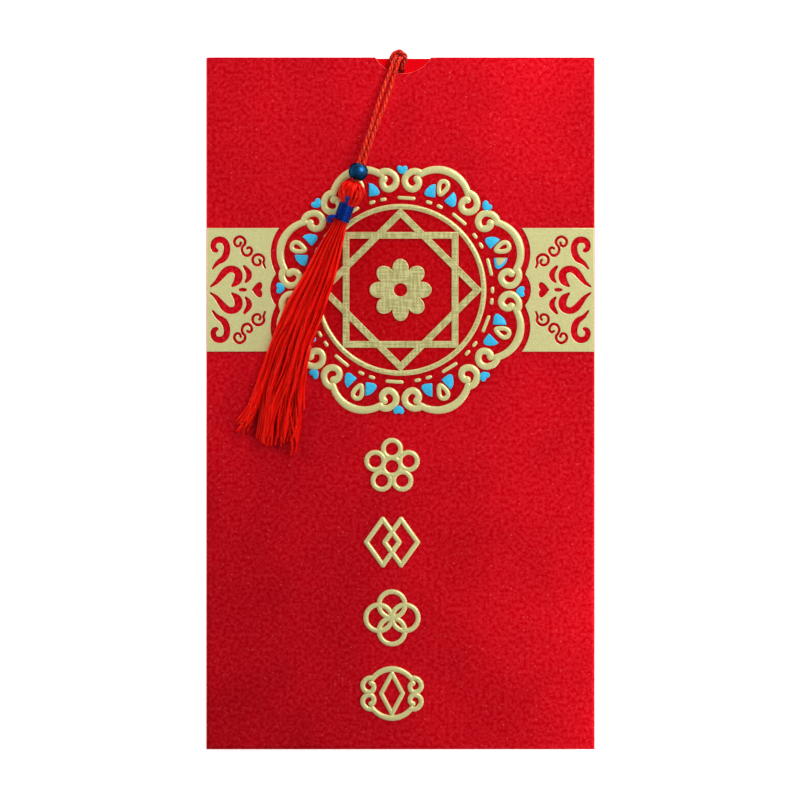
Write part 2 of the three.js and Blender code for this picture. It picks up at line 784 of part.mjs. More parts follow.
function leastGap(points, radius, away) {
  let least = Infinity;
  for (let i = 0; i < points.length; i += 1) {
    for (let j = i + away; j < points.length; j += 1) {
      least = Math.min(least, points[i].distanceTo(points[j]) - 2 * radius);
    }
  }
  return least;
}

function addBinding() {
  const route = bindingRoute();
  const gap = leastGap(route, bindingThread / 2, bindingSteps / 2);
  console.log(`binding: least gap between turns ${gap.toFixed(2)} mm`);
  const geometry = tubeThrough(route, bindingThread / 2, 6);
  addMesh(lying, 'neck_binding', geometry, blueThread).position.z = axisHeight;
}

// Skirt of threads: stations along it give its width, its thickness, how far
// its underside has sunk from the neck to the card, and its drift to the left
const skirtStations = [
  [0, 3.9, 3.9, 0, 0], [0.12, 6.5, 4, 0.7, -0.5], [0.27, 9, 3.9, 1, -0.8],
  [0.4, 10.9, 3.6, 1, -1.5], [0.55, 11.3, 3.3, 1, -1.8], [0.7, 12.8, 3, 1, -1.2],
  [0.84, 15.9, 2.7, 1, -0.7], [0.94, 17.2, 2.4, 1, -0.4], [1, 16.8, 2.2, 1, -0.2],
];

function stationAt(share) {
  const last = skirtStations.length - 2;
  let index = 0;
  while (index < last && skirtStations[index + 1][0] < share) index += 1;
  const from = skirtStations[index];
  const to = skirtStations[index + 1];
  const t = THREE.MathUtils.smoothstep(share, from[0], to[0]);
  const linear = (share - from[0]) / (to[0] - from[0]);
  const blend = (t + 2 * linear) / 3;
  return from.map((value, i) => THREE.MathUtils.lerp(value, to[i], blend));
}

function skirtGeometry() {
  const start = neckEnd + seatGap;
  const neckUnder = axisHeight - skirtStations[0][2] / 2;
  const restUnder = foilTop + seatGap;
  const positions = [];
  const index = [];
  const pointAt = (share, j) => {
    const [, width, thick, sunk, drift] = stationAt(share);
    const angle = (2 * Math.PI * j) / skirtSides;
    const flute = 1 - fluteDepth * share * (1 + Math.cos(skirtFlutes * angle));
    const under = THREE.MathUtils.lerp(neckUnder, restUnder, sunk);
    const across = Math.cos(angle) * flute;
    const over = Math.sin(angle) * flute;
    const wave = raggedWave * Math.cos(3 * Math.cos(angle) + 1);
    const teeth = raggedTeeth * Math.cos(skirtFlutes * angle);
    const along = start + skirtLength * share * (raggedReach + share * (wave + teeth));
    return [drift + (across * width) / 2, -along, under + (thick / 2) * (1 + over)];
  };
  for (let i = 0; i <= skirtRings; i += 1) {
    for (let j = 0; j < skirtSides; j += 1) positions.push(...pointAt(i / skirtRings, j));
  }
  for (let i = 0; i < skirtRings; i += 1) {
    for (let j = 0; j < skirtSides; j += 1) {
      const a = i * skirtSides + j;
      const b = i * skirtSides + ((j + 1) % skirtSides);
      index.push(a, b, a + skirtSides, b, b + skirtSides, a + skirtSides);
    }
  }
  const ends = [[0, false], [skirtRings, true]];
  for (const [ringNumber, far] of ends) {
    const first = ringNumber * skirtSides;
    const middle = positions.length / 3;
    const ringPoints = Array.from({ length: skirtSides }, (_, j) => [0, 1, 2]
      .map((axis) => positions[3 * (first + j) + axis]));
    const inset = far ? skirtEndInset : 0;
    const centre = [0, 1, 2].map((axis) =>
      ringPoints.reduce((sum, point) => sum + point[axis], 0) / skirtSides);
    positions.push(centre[0], centre[1] + inset, centre[2]);
    for (let j = 0; j < skirtSides; j += 1) {
      const a = first + j;
      const b = first + ((j + 1) % skirtSides);
      index.push(...(far ? [middle, a, b] : [middle, b, a]));
    }
  }
  const geometry = new THREE.BufferGeometry();
  geometry.setAttribute('position', new THREE.Float32BufferAttribute(positions, 3));
  geometry.setIndex(index);
  geometry.computeVertexNormals();
  return geometry;
}

addSleeve();
addInsert();
addMedallionCentre();
addMedallionBorder();
addBands();
addOrnaments();
addHitch();
addStrands();
addBead();
addHead();
addBinding();
addMesh(lying, 'tassel_skirt', skirtGeometry(), redThread);

export default card;
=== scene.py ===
import random
from math import asin, cos, pi, radians, sin, sqrt, tau

import bmesh
import bpy
from mathutils import Matrix, Vector, noise


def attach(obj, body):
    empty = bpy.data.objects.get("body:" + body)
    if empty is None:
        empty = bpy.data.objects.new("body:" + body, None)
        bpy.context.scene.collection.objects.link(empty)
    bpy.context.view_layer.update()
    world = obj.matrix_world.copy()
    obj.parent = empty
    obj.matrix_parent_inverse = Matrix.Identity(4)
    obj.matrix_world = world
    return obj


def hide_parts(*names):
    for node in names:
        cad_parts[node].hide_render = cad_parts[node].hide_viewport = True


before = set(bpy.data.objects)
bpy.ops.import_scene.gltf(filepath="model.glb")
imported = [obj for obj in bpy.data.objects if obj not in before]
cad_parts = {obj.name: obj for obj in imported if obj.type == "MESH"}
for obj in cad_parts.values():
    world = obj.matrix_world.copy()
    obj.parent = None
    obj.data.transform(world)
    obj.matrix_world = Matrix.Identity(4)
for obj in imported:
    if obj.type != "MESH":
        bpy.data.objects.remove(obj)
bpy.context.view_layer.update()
print("frame loaded")

mm = 0.001  # the numbers below are in millimetres
front = 3.0  # the card's face
medallion = (0, 30.7)  # the centre of the round ornament
scene = bpy.context.scene


def newObject(name, data):
    made = bpy.data.objects.new(name, data)
    scene.collection.objects.link(made)
    return made


# The camera looks straight down on the card
camera = {"height": 1500, "aim": (-0.135, 0.945), "span": 216.1, "sensor": 36, "clip": 10}


def addCamera():
    lens = bpy.data.cameras.new("camera")
    lens.sensor_width = camera["sensor"]
    lens.lens = camera["sensor"] * camera["height"] / camera["span"]
    lens.clip_end = camera["clip"]
    scene.camera = newObject("camera", lens)
    x, y = camera["aim"]
    scene.camera.location = (x * mm, y * mm, (camera["height"] + front) * mm)


addCamera()
print("camera placed")


# Small helpers for shader trees. Colours are given as three numbers.
def feed(tree, node, inputs):
    for name, value in inputs.items():
        socket = node.inputs[name]
        if isinstance(value, bpy.types.NodeSocket):
            tree.links.new(value, socket)
        elif socket.type == "RGBA":
            socket.default_value = (*value, 1)
        else:
            socket.default_value = value


def addNode(tree, kind, inputs, **settings):
    made = tree.nodes.new("ShaderNode" + kind)
    for name, value in settings.items():
        setattr(made, name, value)
    feed(tree, made, inputs)
    return made.outputs


def mathNode(tree, operation, *values):
    return addNode(tree, "Math", dict(enumerate(values)), operation=operation)["Value"]


def ramp(tree, value, low, high):
    return addNode(tree, "MapRange", {"Value": value, "From Min": low, "From Max": high})["Result"]


def mixColors(tree, share, first, second, blend="MIX"):
    return addNode(tree, "Mix", {"Factor": share, 6: first, 7: second},
                   data_type="RGBA", blend_type=blend)[2]


def newGroup(name, numbers, outputs):
    tree = bpy.data.node_groups.new(name, "ShaderNodeTree")
    for label, value in numbers.items():
        socket = tree.interface.new_socket(name=label, in_out="INPUT", socket_type="NodeSocketFloat")
        socket.default_value = value
    for label in outputs:
        tree.interface.new_socket(name=label, in_out="OUTPUT", socket_type="NodeSocketFloat")
    return tree, tree.nodes.new("NodeGroupInput").outputs, tree.nodes.new("NodeGroupOutput")


def useGroup(tree, group, numbers):
    return addNode(tree, "Group", numbers, node_tree=group)


def grainGroup():
    # Mottled board: speckles about a millimetre long, broad clouds, and mica flecks
    tree, given, result = newGroup(
        "board grain", {"Speckle Scale": 1000, "Cloud Scale": 45, "Fleck Scale": 900},
        ["Speckle", "Cloud", "Fleck"])
    place = addNode(tree, "TexCoord", {})["Object"]
    speckle = addNode(tree, "TexNoise", {
        "Vector": place, "Scale": given["Speckle Scale"], "Detail": 2.5, "Roughness": 0.6})["Fac"]
    cloud = addNode(tree, "TexNoise", {
        "Vector": place, "Scale": given["Cloud Scale"], "Detail": 2})["Fac"]
    fleck = addNode(tree, "TexVoronoi", {"Vector": place, "Scale": given["Fleck Scale"]})
    shine = ramp(tree, fleck["Distance"], 0.24, 0.1)
    few = ramp(tree, addNode(tree, "SeparateColor", {"Color": fleck["Color"]})["Red"], 0.72, 0.98)
    feed(tree, result, {
        "Speckle": ramp(tree, speckle, 0.38, 0.7), "Cloud": ramp(tree, cloud, 0.35, 0.65),
        "Fleck": mathNode(tree, "MULTIPLY", shine, few)})
    return tree


def linenGroup():
    # Two crossed sets of uneven threads, as linen-embossed foil has; Ribs is low where the threads
    # sink, for painted shade there
    tree, given, result = newGroup(
        "linen weave", {"Thread Scale": 1900, "Thread Length": 9}, ["Ribs", "Height"])
    place = addNode(tree, "TexCoord", {})["Object"]
    scale = given["Thread Scale"]
    long = mathNode(tree, "DIVIDE", scale, given["Thread Length"])
    sets = []
    for across, along in (("X", "Y"), ("Y", "X")):
        stretch = addNode(tree, "CombineXYZ", {across: scale, along: long, "Z": 1.0})["Vector"]
        pulled = addNode(tree, "VectorMath", {0: place, 1: stretch}, operation="MULTIPLY")["Vector"]
        threads = addNode(tree, "TexNoise", {"Vector": pulled, "Scale": 1, "Detail": 1})["Fac"]
        sets.append(ramp(tree, threads, 0.36, 0.64))
    half = mathNode(tree, "MULTIPLY", mathNode(tree, "ADD", *sets), 0.5)
    feed(tree, result, {"Ribs": ramp(tree, half, 0.25, 0.75), "Height": half})
    return tree


def layGroup():
    # Twist along a thread, its furrows for painted shade in the grooves between plies, and slow
    # streaks of shade, read from its own UV: x runs along it and y round it
    tree, given, result = newGroup(
        "thread lay", {"Turns": 40, "Plies": 3, "Streaks": 5, "Shift": 0}, ["Furrow", "Streak"])
    own = addNode(tree, "UVMap", {}, uv_map="UVMap")["UV"]
    parts = addNode(tree, "SeparateXYZ", {"Vector": own})
    along = mathNode(tree, "MULTIPLY_ADD", parts["X"], given["Turns"], given["Shift"])
    phase = mathNode(tree, "MULTIPLY", mathNode(tree, "ADD", parts["Y"], along), given["Plies"])
    slow = mathNode(tree, "MULTIPLY", parts["X"], given["Streaks"])
    place = addNode(tree, "CombineXYZ", {"X": given["Shift"], "Y": slow})["Vector"]
    streak = addNode(tree, "TexNoise", {"Vector": place, "Scale": 1, "Detail": 2})["Fac"]
    feed(tree, result, {
        "Furrow": ramp(tree, mathNode(tree, "PINGPONG", phase, 1.0), 0.0, 0.55),
        "Streak": ramp(tree, streak, 0.35, 0.65)})
    return tree


boardGrain = grainGroup()
linenWeave = linenGroup()
threadLay = layGroup()


def newMaterial(name, roughness, metallic=0.0, specular=0.5, tint=(1, 1, 1)):
    made = bpy.data.materials.new(name)
    made.use_nodes = True
    shader = made.node_tree.nodes["Principled BSDF"]
    feed(made.node_tree, shader, {
        "Roughness": roughness, "Metallic": metallic, "Specular IOR Level": specular,
        "Specular Tint": tint})
    return made, made.node_tree, shader


def dressSurface(tree, shader, color, height, strength, distance):
    bump = addNode(tree, "Bump", {"Height": height, "Strength": strength, "Distance": distance * mm})
    feed(tree, shader, {"Base Color": color, "Normal": bump["Normal"]})


board = {
    "low": (0.545, 0.0004, 0.005), "high": (0.715, 0.0135, 0.025), "cut": (0.78, 0.085, 0.07),
    "cloudDark": (0.9, 0.9, 0.9), "cloudLight": (1.06, 1.06, 1.06),
    "fleck": (0.9, 0.12, 0.12), "fleckShare": 0.5,
    "inside": (0.36, 0.004, 0.008), "insert": (0.8, 0.0012, 0.006), "plainShade": 0.9,
    # Painted shade: the ground inside the medallion is darkened by this tint, out to this radius
    "paintedShade": (0.86, 0.7, 0.6), "paintedShadeRadius": 34, "paintedShadeBlur": 0.6, "depthCounts": 20,
}


def paintedShadeMask(tree):
    # The ground inside the medallion is darkened: painted shade round the foil relief. Depth counts
    # many times over, which keeps the painted shade off the back.
    place = addNode(tree, "TexCoord", {})["Object"]
    stretch = (1, 1, board["depthCounts"])
    centre = (medallion[0] * mm, medallion[1] * mm, front * mm * board["depthCounts"])
    deep = addNode(tree, "VectorMath", {0: place, 1: stretch}, operation="MULTIPLY")["Vector"]
    near = addNode(tree, "VectorMath", {0: deep, 1: centre}, operation="DISTANCE")["Value"]
    edge, blur = board["paintedShadeRadius"], board["paintedShadeBlur"]
    return ramp(tree, near, (edge + blur) * mm, (edge - blur) * mm)


def pearlBoard():
    made, tree, shader = newMaterial("pearl red board", 0.5, specular=0.22, tint=(1, 0.03, 0.06))
    grain = useGroup(tree, boardGrain, {})
    base = mixColors(tree, grain["Speckle"], board["low"], board["high"])
    shade = mixColors(tree, grain["Cloud"], board["cloudDark"], board["cloudLight"])
    clouded = mixColors(tree, 1.0, base, shade, "MULTIPLY")
    share = mathNode(tree, "MULTIPLY", grain["Fleck"], board["fleckShare"])
    flecked = mixColors(tree, share, clouded, board["fleck"])
    # Painted shade darkens the ground inside the medallion
    paintedShade = mixColors(tree, paintedShadeMask(tree), flecked, board["paintedShade"], "MULTIPLY")
    dressSurface(tree, shader, paintedShade, grain["Speckle"], 0.6, 0.05)
    return made


foil = {
    # The lighter gold for the bands' sloped edges is a painted highlight
    "gold": (1.0, 0.98, 0.47), "goldShade": (0.87, 0.81, 0.33), "paintedHighlight": (1.0, 1.0, 0.68),
    # The darker weave colour is painted shade in the linen emboss's grooves
    "weaveGrooveShade": (0.62, 0.55, 0.2), "blue": (0.06, 0.66, 1.0), "blueShade": (0.03, 0.48, 0.86),
}


def grainedMaterial(name, dark, light, scale, relief, woven=False, **surface):
    # Two shades by the grain's speckles, and where it is woven, linen threads darkened in their
    # grooves as painted shade
    made, tree, shader = newMaterial(name, **surface)
    grain = useGroup(tree, boardGrain, {"Speckle Scale": scale})["Speckle"]
    color = mixColors(tree, grain, dark, light)
    if woven:
        linen = useGroup(tree, linenWeave, {})
        color = mixColors(tree, linen["Ribs"], foil["weaveGrooveShade"], color)
        dressSurface(tree, shader, color, linen["Height"], 0.6, 0.08)
    else:
        dressSurface(tree, shader, color, grain, relief, 0.03)
    return made


def plainBoard(name, color, roughness):
    darker = [channel * board["plainShade"] for channel in color]
    return grainedMaterial(name, darker, color, 2400, 0.15, roughness=roughness,
                           specular=0.2, tint=(1, 0.05, 0.1))


def goldFoil(name, light="gold", woven=False):
    return grainedMaterial(name, foil["goldShade"], foil[light], 2600, 0.25, woven, roughness=0.27,
                           metallic=0.42, specular=0.95, tint=(1, 1, 0.88))


toneShift = 57.0  # how far a thread's tone shifts its streaks from its neighbour's


def threadMaterial(name, dark, light, tint, roughness, ior, turns, streaks,
                   furrow=0.3, streak=0.2, relief=0.4):
    made, tree, shader = newMaterial(name, roughness, specular=1.0, tint=tint)
    feed(tree, shader, {"IOR": ior})
    own = addNode(tree, "Attribute", {}, attribute_name="tone")["Fac"]
    lay = useGroup(tree, threadLay, {
        "Turns": turns, "Plies": 2, "Streaks": streaks,
        "Shift": mathNode(tree, "MULTIPLY", own, toneShift)})
    toned = own
    # Furrows darken the tone as painted shade in the twist's grooves; streaks vary it slowly
    for output, depth in (("Furrow", furrow), ("Streak", streak)):
        lined = mathNode(tree, "MULTIPLY_ADD", lay[output], depth, 1 - depth)
        toned = mathNode(tree, "MULTIPLY", lined, toned)
    dressSurface(tree, shader, mixColors(tree, toned, dark, light), lay["Furrow"], relief, 0.06)
    return made


cordRed = threadMaterial(
    "twisted red cord", (0.26, 0.0004, 0.0003), (0.96, 0.024, 0.008), (1, 0.42, 0.27),
    roughness=0.24, ior=1.6, turns=22, streaks=14, furrow=0.4, streak=0.15)
flossRed = threadMaterial(
    "red floss", (0.5, 0.0004, 0.0002), (1.0, 0.002, 0.0008), (1, 0.26, 0.15),
    roughness=0.22, ior=1.55, turns=18, streaks=6, furrow=0.1, streak=0.45, relief=0.25)
threadBlue = threadMaterial(
    "blue thread", (0.0003, 0.0008, 0.01), (0.0015, 0.02, 0.3), (0.03, 0.2, 0.95),
    roughness=0.22, ior=2.1, turns=160, streaks=70, streak=0.3)


def pearlNavy():
    made, tree, shader = newMaterial("navy pearl", 0.34, metallic=0.97, tint=(0.1, 0.3, 0.5))
    grain = useGroup(tree, boardGrain, {"Cloud Scale": 300})
    color = mixColors(tree, grain["Cloud"], (0.006, 0.05, 0.14), (0.03, 0.2, 0.5))
    feed(tree, shader, {"Base Color": color})
    return made


redPearl = pearlBoard()
insideRed = plainBoard("red board inside", board["inside"], 0.7)
insertRed = plainBoard("bright red card", board["insert"], 0.5)
cutBoard = plainBoard("cut board edge", board["cut"], 0.7)
goldPlain = goldFoil("gold foil")
goldWoven = goldFoil("linen gold foil", woven=True)
# Painted highlight for the bands' edges
goldPaintedHighlight = goldFoil("gold foil painted highlight", light="paintedHighlight")
blueRelief = grainedMaterial("blue foil", foil["blueShade"], foil["blue"], 2000, 0.2,
                             roughness=0.4, metallic=0.1, specular=0.4)
navyPearl = pearlNavy()
print("materials made")


def addPiece(name, mesh, materials):
    mesh.name = name
    mesh.materials.clear()
    for made in materials:
        mesh.materials.append(made)
    return newObject(name, mesh)


# A finished piece has its place in its mesh, rides on a body and may stand for CAD nodes
def finishPiece(piece, body, nodes, smoothAngle):
    piece.data.shade_smooth()
    piece.data.set_sharp_from_angle(angle=radians(smoothAngle))
    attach(piece, body)
    if nodes:
        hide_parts(*nodes)
    return piece


def bakedMesh(piece):
    # Its mesh as its curve or its modifiers make it
    ready = piece.evaluated_get(bpy.context.evaluated_depsgraph_get())
    return bpy.data.meshes.new_from_object(ready)


def curveMesh(lines, closed, **settings):
    # Each line is a list of (point, share of the thickness there), the points in metres
    curve = bpy.data.curves.new("lines", "CURVE")
    for setting, value in settings.items():
        setattr(curve, setting, value)
    for line in lines:
        spline = curve.splines.new("POLY")
        spline.points.add(len(line) - 1)
        spline.use_cyclic_u = closed
        for point, (place, share) in zip(spline.points, line):
            point.co = (*place, 1)
            point.radius = share
    holder = newObject("lines", curve)
    mesh = bakedMesh(holder)
    bpy.data.objects.remove(holder)
    bpy.data.curves.remove(curve)
    return mesh


def tubeMesh(routes, radius, closed=False, rounding=1):
    return curveMesh(routes, closed, dimensions="3D", bevel_depth=radius * mm,
                     bevel_resolution=rounding, use_fill_caps=True)


def addThreads(name, routes, radius, tones, look, body, nodes, rounding=1):
    # One tone for each thread, the faces of a thread being next to each other
    mesh = tubeMesh(routes, radius, rounding=rounding)
    tone = mesh.attributes.new("tone", "FLOAT", "FACE")
    faces, last = len(mesh.polygons), len(tones) - 1
    size = faces / len(tones)
    tone.data.foreach_set("value", [tones[min(int(i / size), last)] for i in range(faces)])
    return finishPiece(addPiece(name, mesh, [look]), body, nodes, 60)


def smoothLine(points, steps):
    # A smooth line through the points, which may carry a width as a last number
    out = []
    last = len(points) - 1
    for i in range(last):
        before, start, end, after = [Vector(points[max(min(j, last), 0)]) for j in range(i - 1, i + 3)]
        for step in range(steps):
            t = step / steps
            out.append(0.5 * (2 * start + (end - before) * t
                       + (2 * before - 5 * start + 4 * end - after) * t ** 2
                       + (3 * start - before - 3 * end + after) * t ** 3))
    out.append(Vector(points[-1]))
    return out


# The tassel: its cord lies across the card from the hitch, and stations give
# distance from the fold, rise to the bead's height as a share, and bow
cord = {
    "pivot": (-0.5, 94.05), "turn": 19, "foldHeight": 4.8, "axisHeight": 6.65,
    "diameter": 1.1, "aside": 0.6, "plyTurn": 5.4, "plySpread": 0.33, "plyRadius": 0.33,
    # The plies' tones differ: painted highlight and shade along the twist
    "reach": 36.0, "drawnFor": 5.0, "drawnBy": 0.2, "step": 0.12, "tones": [1.0, 0.6, 0.8],
    "stations": [
        (1.4, 0, 0), (3, 0, 0.02), (5, 0.02, 0.08), (7, 0.07, 0.14), (9, 0.16, 0.22),
        (11, 0.3, 0.28), (13, 0.48, 0.3), (15, 0.68, 0.26), (17, 0.85, 0.18), (19, 0.96, 0.1),
        (21, 1, 0.03), (23, 1, 0), (26, 1, 0), (30, 1, 0), (33, 1, 0), (36.1, 1, 0)],
}


def onTassel(across, along, height):
    turn = radians(cord["turn"])
    x, y = cord["pivot"]
    return Vector((
        x + across * cos(turn) - along * sin(turn),
        y - across * sin(turn) - along * cos(turn),
        height)) * mm


def laidLine(points, steps):
    return [onTassel(*point) for point in smoothLine(points, steps)]


def strandLine(side):
    last = cord["stations"][-1][0]
    line = []
    for along, rise, bow in cord["stations"]:
        height = cord["foldHeight"] + (cord["axisHeight"] - cord["foldHeight"]) * rise
        line.append((side * (cord["aside"] + bow), along * cord["reach"] / last, height))
    return laidLine(line, 3)


def lengthOf(line):
    return sum((b - a).length for a, b in zip(line, line[1:]))


def evenLine(line, step):
    # The same line with points a step apart
    total = lengthOf(line)
    count = max(2, round(total / (step * mm)))
    out, walked, i = [line[0]], 0.0, 0
    for k in range(1, count):
        target = total * k / count
        while walked + (line[i + 1] - line[i]).length < target:
            walked += (line[i + 1] - line[i]).length
            i += 1
        share = (target - walked) / (line[i + 1] - line[i]).length
        out.append(line[i].lerp(line[i + 1], share))
    out.append(line[-1])
    return out


def plyRoutes(line, plies, pitch, spread, start=0.0, drawnFor=0.0):
    # The plies of a cord wind round its middle line, drawn tight over its first stretch
    routes = [[] for _ in range(plies)]
    walked = 0.0
    for i, point in enumerate(line):
        if i:
            walked += (point - line[i - 1]).length
        ahead = (line[min(i + 1, len(line) - 1)] - line[max(i - 1, 0)]).normalized()
        over = Vector((0, 0, 1)) if abs(ahead.z) < 0.9 else Vector((0, 1, 0))
        side = ahead.cross(over).normalized()
        up = side.cross(ahead)
        loose = min(1, walked / (drawnFor * mm)) if drawnFor else 1
        share = 1 - cord["drawnBy"] + cord["drawnBy"] * loose
        for ply in range(plies):
            angle = tau * (walked / (pitch * mm) + ply / plies) + start
            offset = (side * cos(angle) + up * sin(angle)) * spread * share * mm
            routes[ply].append((point + offset, share))
    return routes


def addStrands():
    for name, side in (("left", -1), ("right", 1)):
        middle = strandLine(side)
        routes = plyRoutes(evenLine(middle, cord["step"]), 3, cord["plyTurn"], cord["plySpread"],
                           side, cord["drawnFor"])
        strand = addThreads(f"cord_{name}", routes, cord["plyRadius"], cord["tones"], cordRed,
                            "cord", [f"cord_strand_{name}"])


addStrands()
print("cords laid")

# The hitch: an arch of cord out of the hole and over the insert's edge, with the
# doubled cord coming up the back and through it. Behind, each leg turns down round
# the hole's lower side. The arch is given to its top and the rest for the right side.
hitch = {
    "x": -0.5, "radius": 0.37, "spread": 0.36, "backRadius": 0.36, "backSpread": 0.34,
    "plyTurn": 5.0, "step": 0.15,
    # The arch is darker than the cord and the parts behind the insert darker still: painted shade
    "tones": [0.75, 0.45, 0.6, 0.5, 0.35, 0.45, 0.5, 0.35, 0.45, 0.2, 0.2, 0.2],
    "arch": [(-0.95, 90.7, 1.35), (-0.95, 90.55, 1.95), (-1.1, 91, 3), (-1.85, 92.8, 3.3),
             (-1.517, 94.1, 3.7), (0, 95, 3.9)],
    "back": [(1, 90.7, 1.45), (1.15, 89.95, 1), (0.72, 89.4, 0.82), (0.6, 90.8, 0.82),
             (0.6, 92.6, 0.82), (0.6, 93.95, 1.17), (0.6, 94.2, 1.9), (0.6, 94, 3.1)],
    "bight": [(1.25, 90.1, 1), (0.7, 89.78, 1), (0, 89.68, 1)],
}


def mirrored(points):
    return [(-x, *rest) for x, *rest in points]


def addHitch():
    h = hitch
    routes = []
    for line, radius, spread in (
            (h["arch"] + mirrored(h["arch"][-2::-1]), h["radius"], h["spread"]),
            (mirrored(h["back"]), h["backRadius"], h["backSpread"]),
            (h["back"], h["backRadius"], h["backSpread"]),
            (mirrored(h["bight"]) + h["bight"][-2::-1], h["backRadius"], h["backSpread"])):
        smooth = [Vector((x + h["x"], y, z)) * mm for x, y, z in smoothLine(line, 10)]
        for route in plyRoutes(evenLine(smooth, h["step"]), 3, h["plyTurn"], spread):
            routes.append([(point, radius) for point, _ in route])
    addThreads("hitch_loop", routes, 1, h["tones"], cordRed, "insert", ["cord_hitch"])


# Where the two strands bend down between the arch's legs
fold = {
    # The plies' tones differ and run darker than the cord's: painted highlight and shade
    "step": 0.28, "drawn": 0.8, "tones": [0.9, 0.6, 0.75] * 2,
    "line": [(0.58, 1.55, 4.8), (0.58, 1.15, 4.72), (0.57, 0.75, 4.45), (0.56, 0.5, 3.95),
             (0.55, 0.42, 3.75)],
}


def addFold():
    routes = []
    for side in (-1, 1):
        line = [(side * across, along, height) for across, along, height in fold["line"]]
        fine = evenLine(laidLine(line, 8), fold["step"])
        routes += plyRoutes(fine, 3, cord["plyTurn"], cord["plySpread"] * fold["drawn"], side)
    addThreads("strand_bends", routes, cord["plyRadius"] * fold["drawn"], fold["tones"], cordRed,
               "fold", ["cord_fold"])


addHitch()
addFold()
print("hitch tied")

bead = {"diameter": 5.2, "along": 33.4, "bore": 2.66, "lip": 0.2, "round": 0.06, "deep": 0.15,
        "proud": 0.02, "rows": 32, "sides": 64}


def spunShape(profile, steps, closed=True):
    # Points (radius, height) in millimetres, spun about the Z axis
    shape = bmesh.new()
    verts = [shape.verts.new((radius * mm, 0, up * mm)) for radius, up in profile]
    ends = verts[1:] + verts[:1] if closed else verts[1:]
    edges = [shape.edges.new(pair) for pair in zip(verts, ends)]
    bmesh.ops.spin(shape, geom=verts + edges, axis=(0, 0, 1), cent=(0, 0, 0),
                   angle=tau, steps=steps, use_merge=True)
    bmesh.ops.remove_doubles(shape, verts=shape.verts, dist=1e-7)
    bmesh.ops.recalc_face_normals(shape, faces=shape.faces)
    return shape


def meshFromShape(shape):
    mesh = bpy.data.meshes.new("shape")
    shape.to_mesh(mesh)
    shape.free()
    return mesh


def addBead():
    b = bead
    radius, bore = b["diameter"] / 2, b["bore"] / 2
    start = asin((bore + b["lip"]) / radius)
    profile = []
    for i in range(b["rows"] + 1):
        angle = start + (pi - 2 * start) * i / b["rows"]
        profile.append((radius * sin(angle), radius * cos(angle)))
    top = profile[0][1]
    profile += [(bore + b["round"], -top - b["proud"]), (bore, -top + b["deep"]),
                (bore, top - b["deep"]), (bore + b["round"], top + b["proud"])]
    shape = spunShape(profile, b["sides"])
    # It is made along +Z and laid along the cord
    lay = Matrix.Rotation(radians(-90), 4, "X")
    turn = Matrix.Rotation(radians(-cord["turn"]), 4, "Z")
    place = Matrix.Translation(onTassel(0, b["along"], cord["axisHeight"]))
    bmesh.ops.transform(shape, matrix=place @ turn @ lay, verts=shape.verts)
    finishPiece(addPiece("pearl_bead", meshFromShape(shape), [navyPearl]),
                "bead", ["bead"], 50)


addBead()
print("bead made")

# The head: thick folds of floss from under the bead to the bound neck. Stations give
# shares of the radius along it, and how far from the axis, up to the fold's own bulge.
head = {
    "centre": 39.2, "radius": 2.95, "wide": 1.3, "across": 0.12, "rings": ((15, 0), (9, 0.8)),
    "plyRadius": 0.42, "plySpread": 0.3, "plyTurn": 7.5, "seed": 4, "step": 0.25,
    "stagger": 0.15, "lean": (0.1, 0.4), "dent": 0.12,
    # The inner ring of folds takes a darker tone: painted shade under the outer folds
    "innerFoldShade": 0.45, "tones": (0.5, 1), "secondPly": 0.92,
    "stations": [(-0.82, 0.75), (-0.77, 1.3), (-0.6, 1.86), (-0.3, 3), (0.05, 3), (0.4, 2.1),
                 (0.75, 1.7), (1.05, 1.3), (1.5, 1.1)],
}


def addHead():
    h = head
    chance = random.Random(h["seed"])
    outer = h["plyRadius"] + h["plySpread"]
    last = len(h["stations"]) - 1
    routes, tones = [], []
    for count, inset in h["rings"]:
        for k in range(count):
            around = tau * (k + chance.uniform(-h["stagger"], h["stagger"])) / count
            lean = chance.uniform(*h["lean"])
            bulge = h["radius"] - outer - inset + chance.uniform(-h["dent"], 0.0)
            line = []
            for step, (share, away) in enumerate(h["stations"]):
                angle = around + lean * step / last
                away = min(away, bulge)
                wide = 1 + (h["wide"] - 1) * min(1, away / bulge) ** 2
                line.append((h["across"] + away * wide * cos(angle),
                             h["centre"] + share * h["radius"],
                             cord["axisHeight"] + away * sin(angle)))
            fine = evenLine(laidLine(line, 5), h["step"])
            routes += plyRoutes(fine, 2, h["plyTurn"], h["plySpread"], chance.uniform(0, 6))
            # Inner folds are darker: painted shade under the outer ones
            tone = h["innerFoldShade"] if inset else chance.uniform(*h["tones"])
            tones += [tone, tone * h["secondPly"]]
    addThreads("tassel_folds", routes, h["plyRadius"], tones, flossRed, "tassel",
               ["tassel_head"])


# The winding, its flat tail on the head, and its knot at the lower left: both as
# offsets from the winding's ends, with a width
binding = {
    "start": 42.75, "turns": 11, "pitch": 0.42, "thread": 0.44, "radius": 1.93, "steps": 30,
    "swell": 0.03, "tone": 0.5, "tailTones": [0.5, 1.0],
    "tail": [(-0.4, -2.1, 0.6, 1.7), (-0.38, -1.7, 0.66, 2.2), (-0.33, -1.0, 0.62, 2.3),
             (-0.2, -0.2, 0.1, 2.1), (-0.1, 0.15, -0.1, 1.8)],
    "knot": [(-1.7, -0.5, -0.2, 1.8), (-2.5, -0.3, -0.6, 2.5), (-3.3, 0.15, -1.0, 2.6),
             (-3.2, 1.0, -1.3, 2.5), (-2.3, 0.95, -0.9, 2.1)],
}


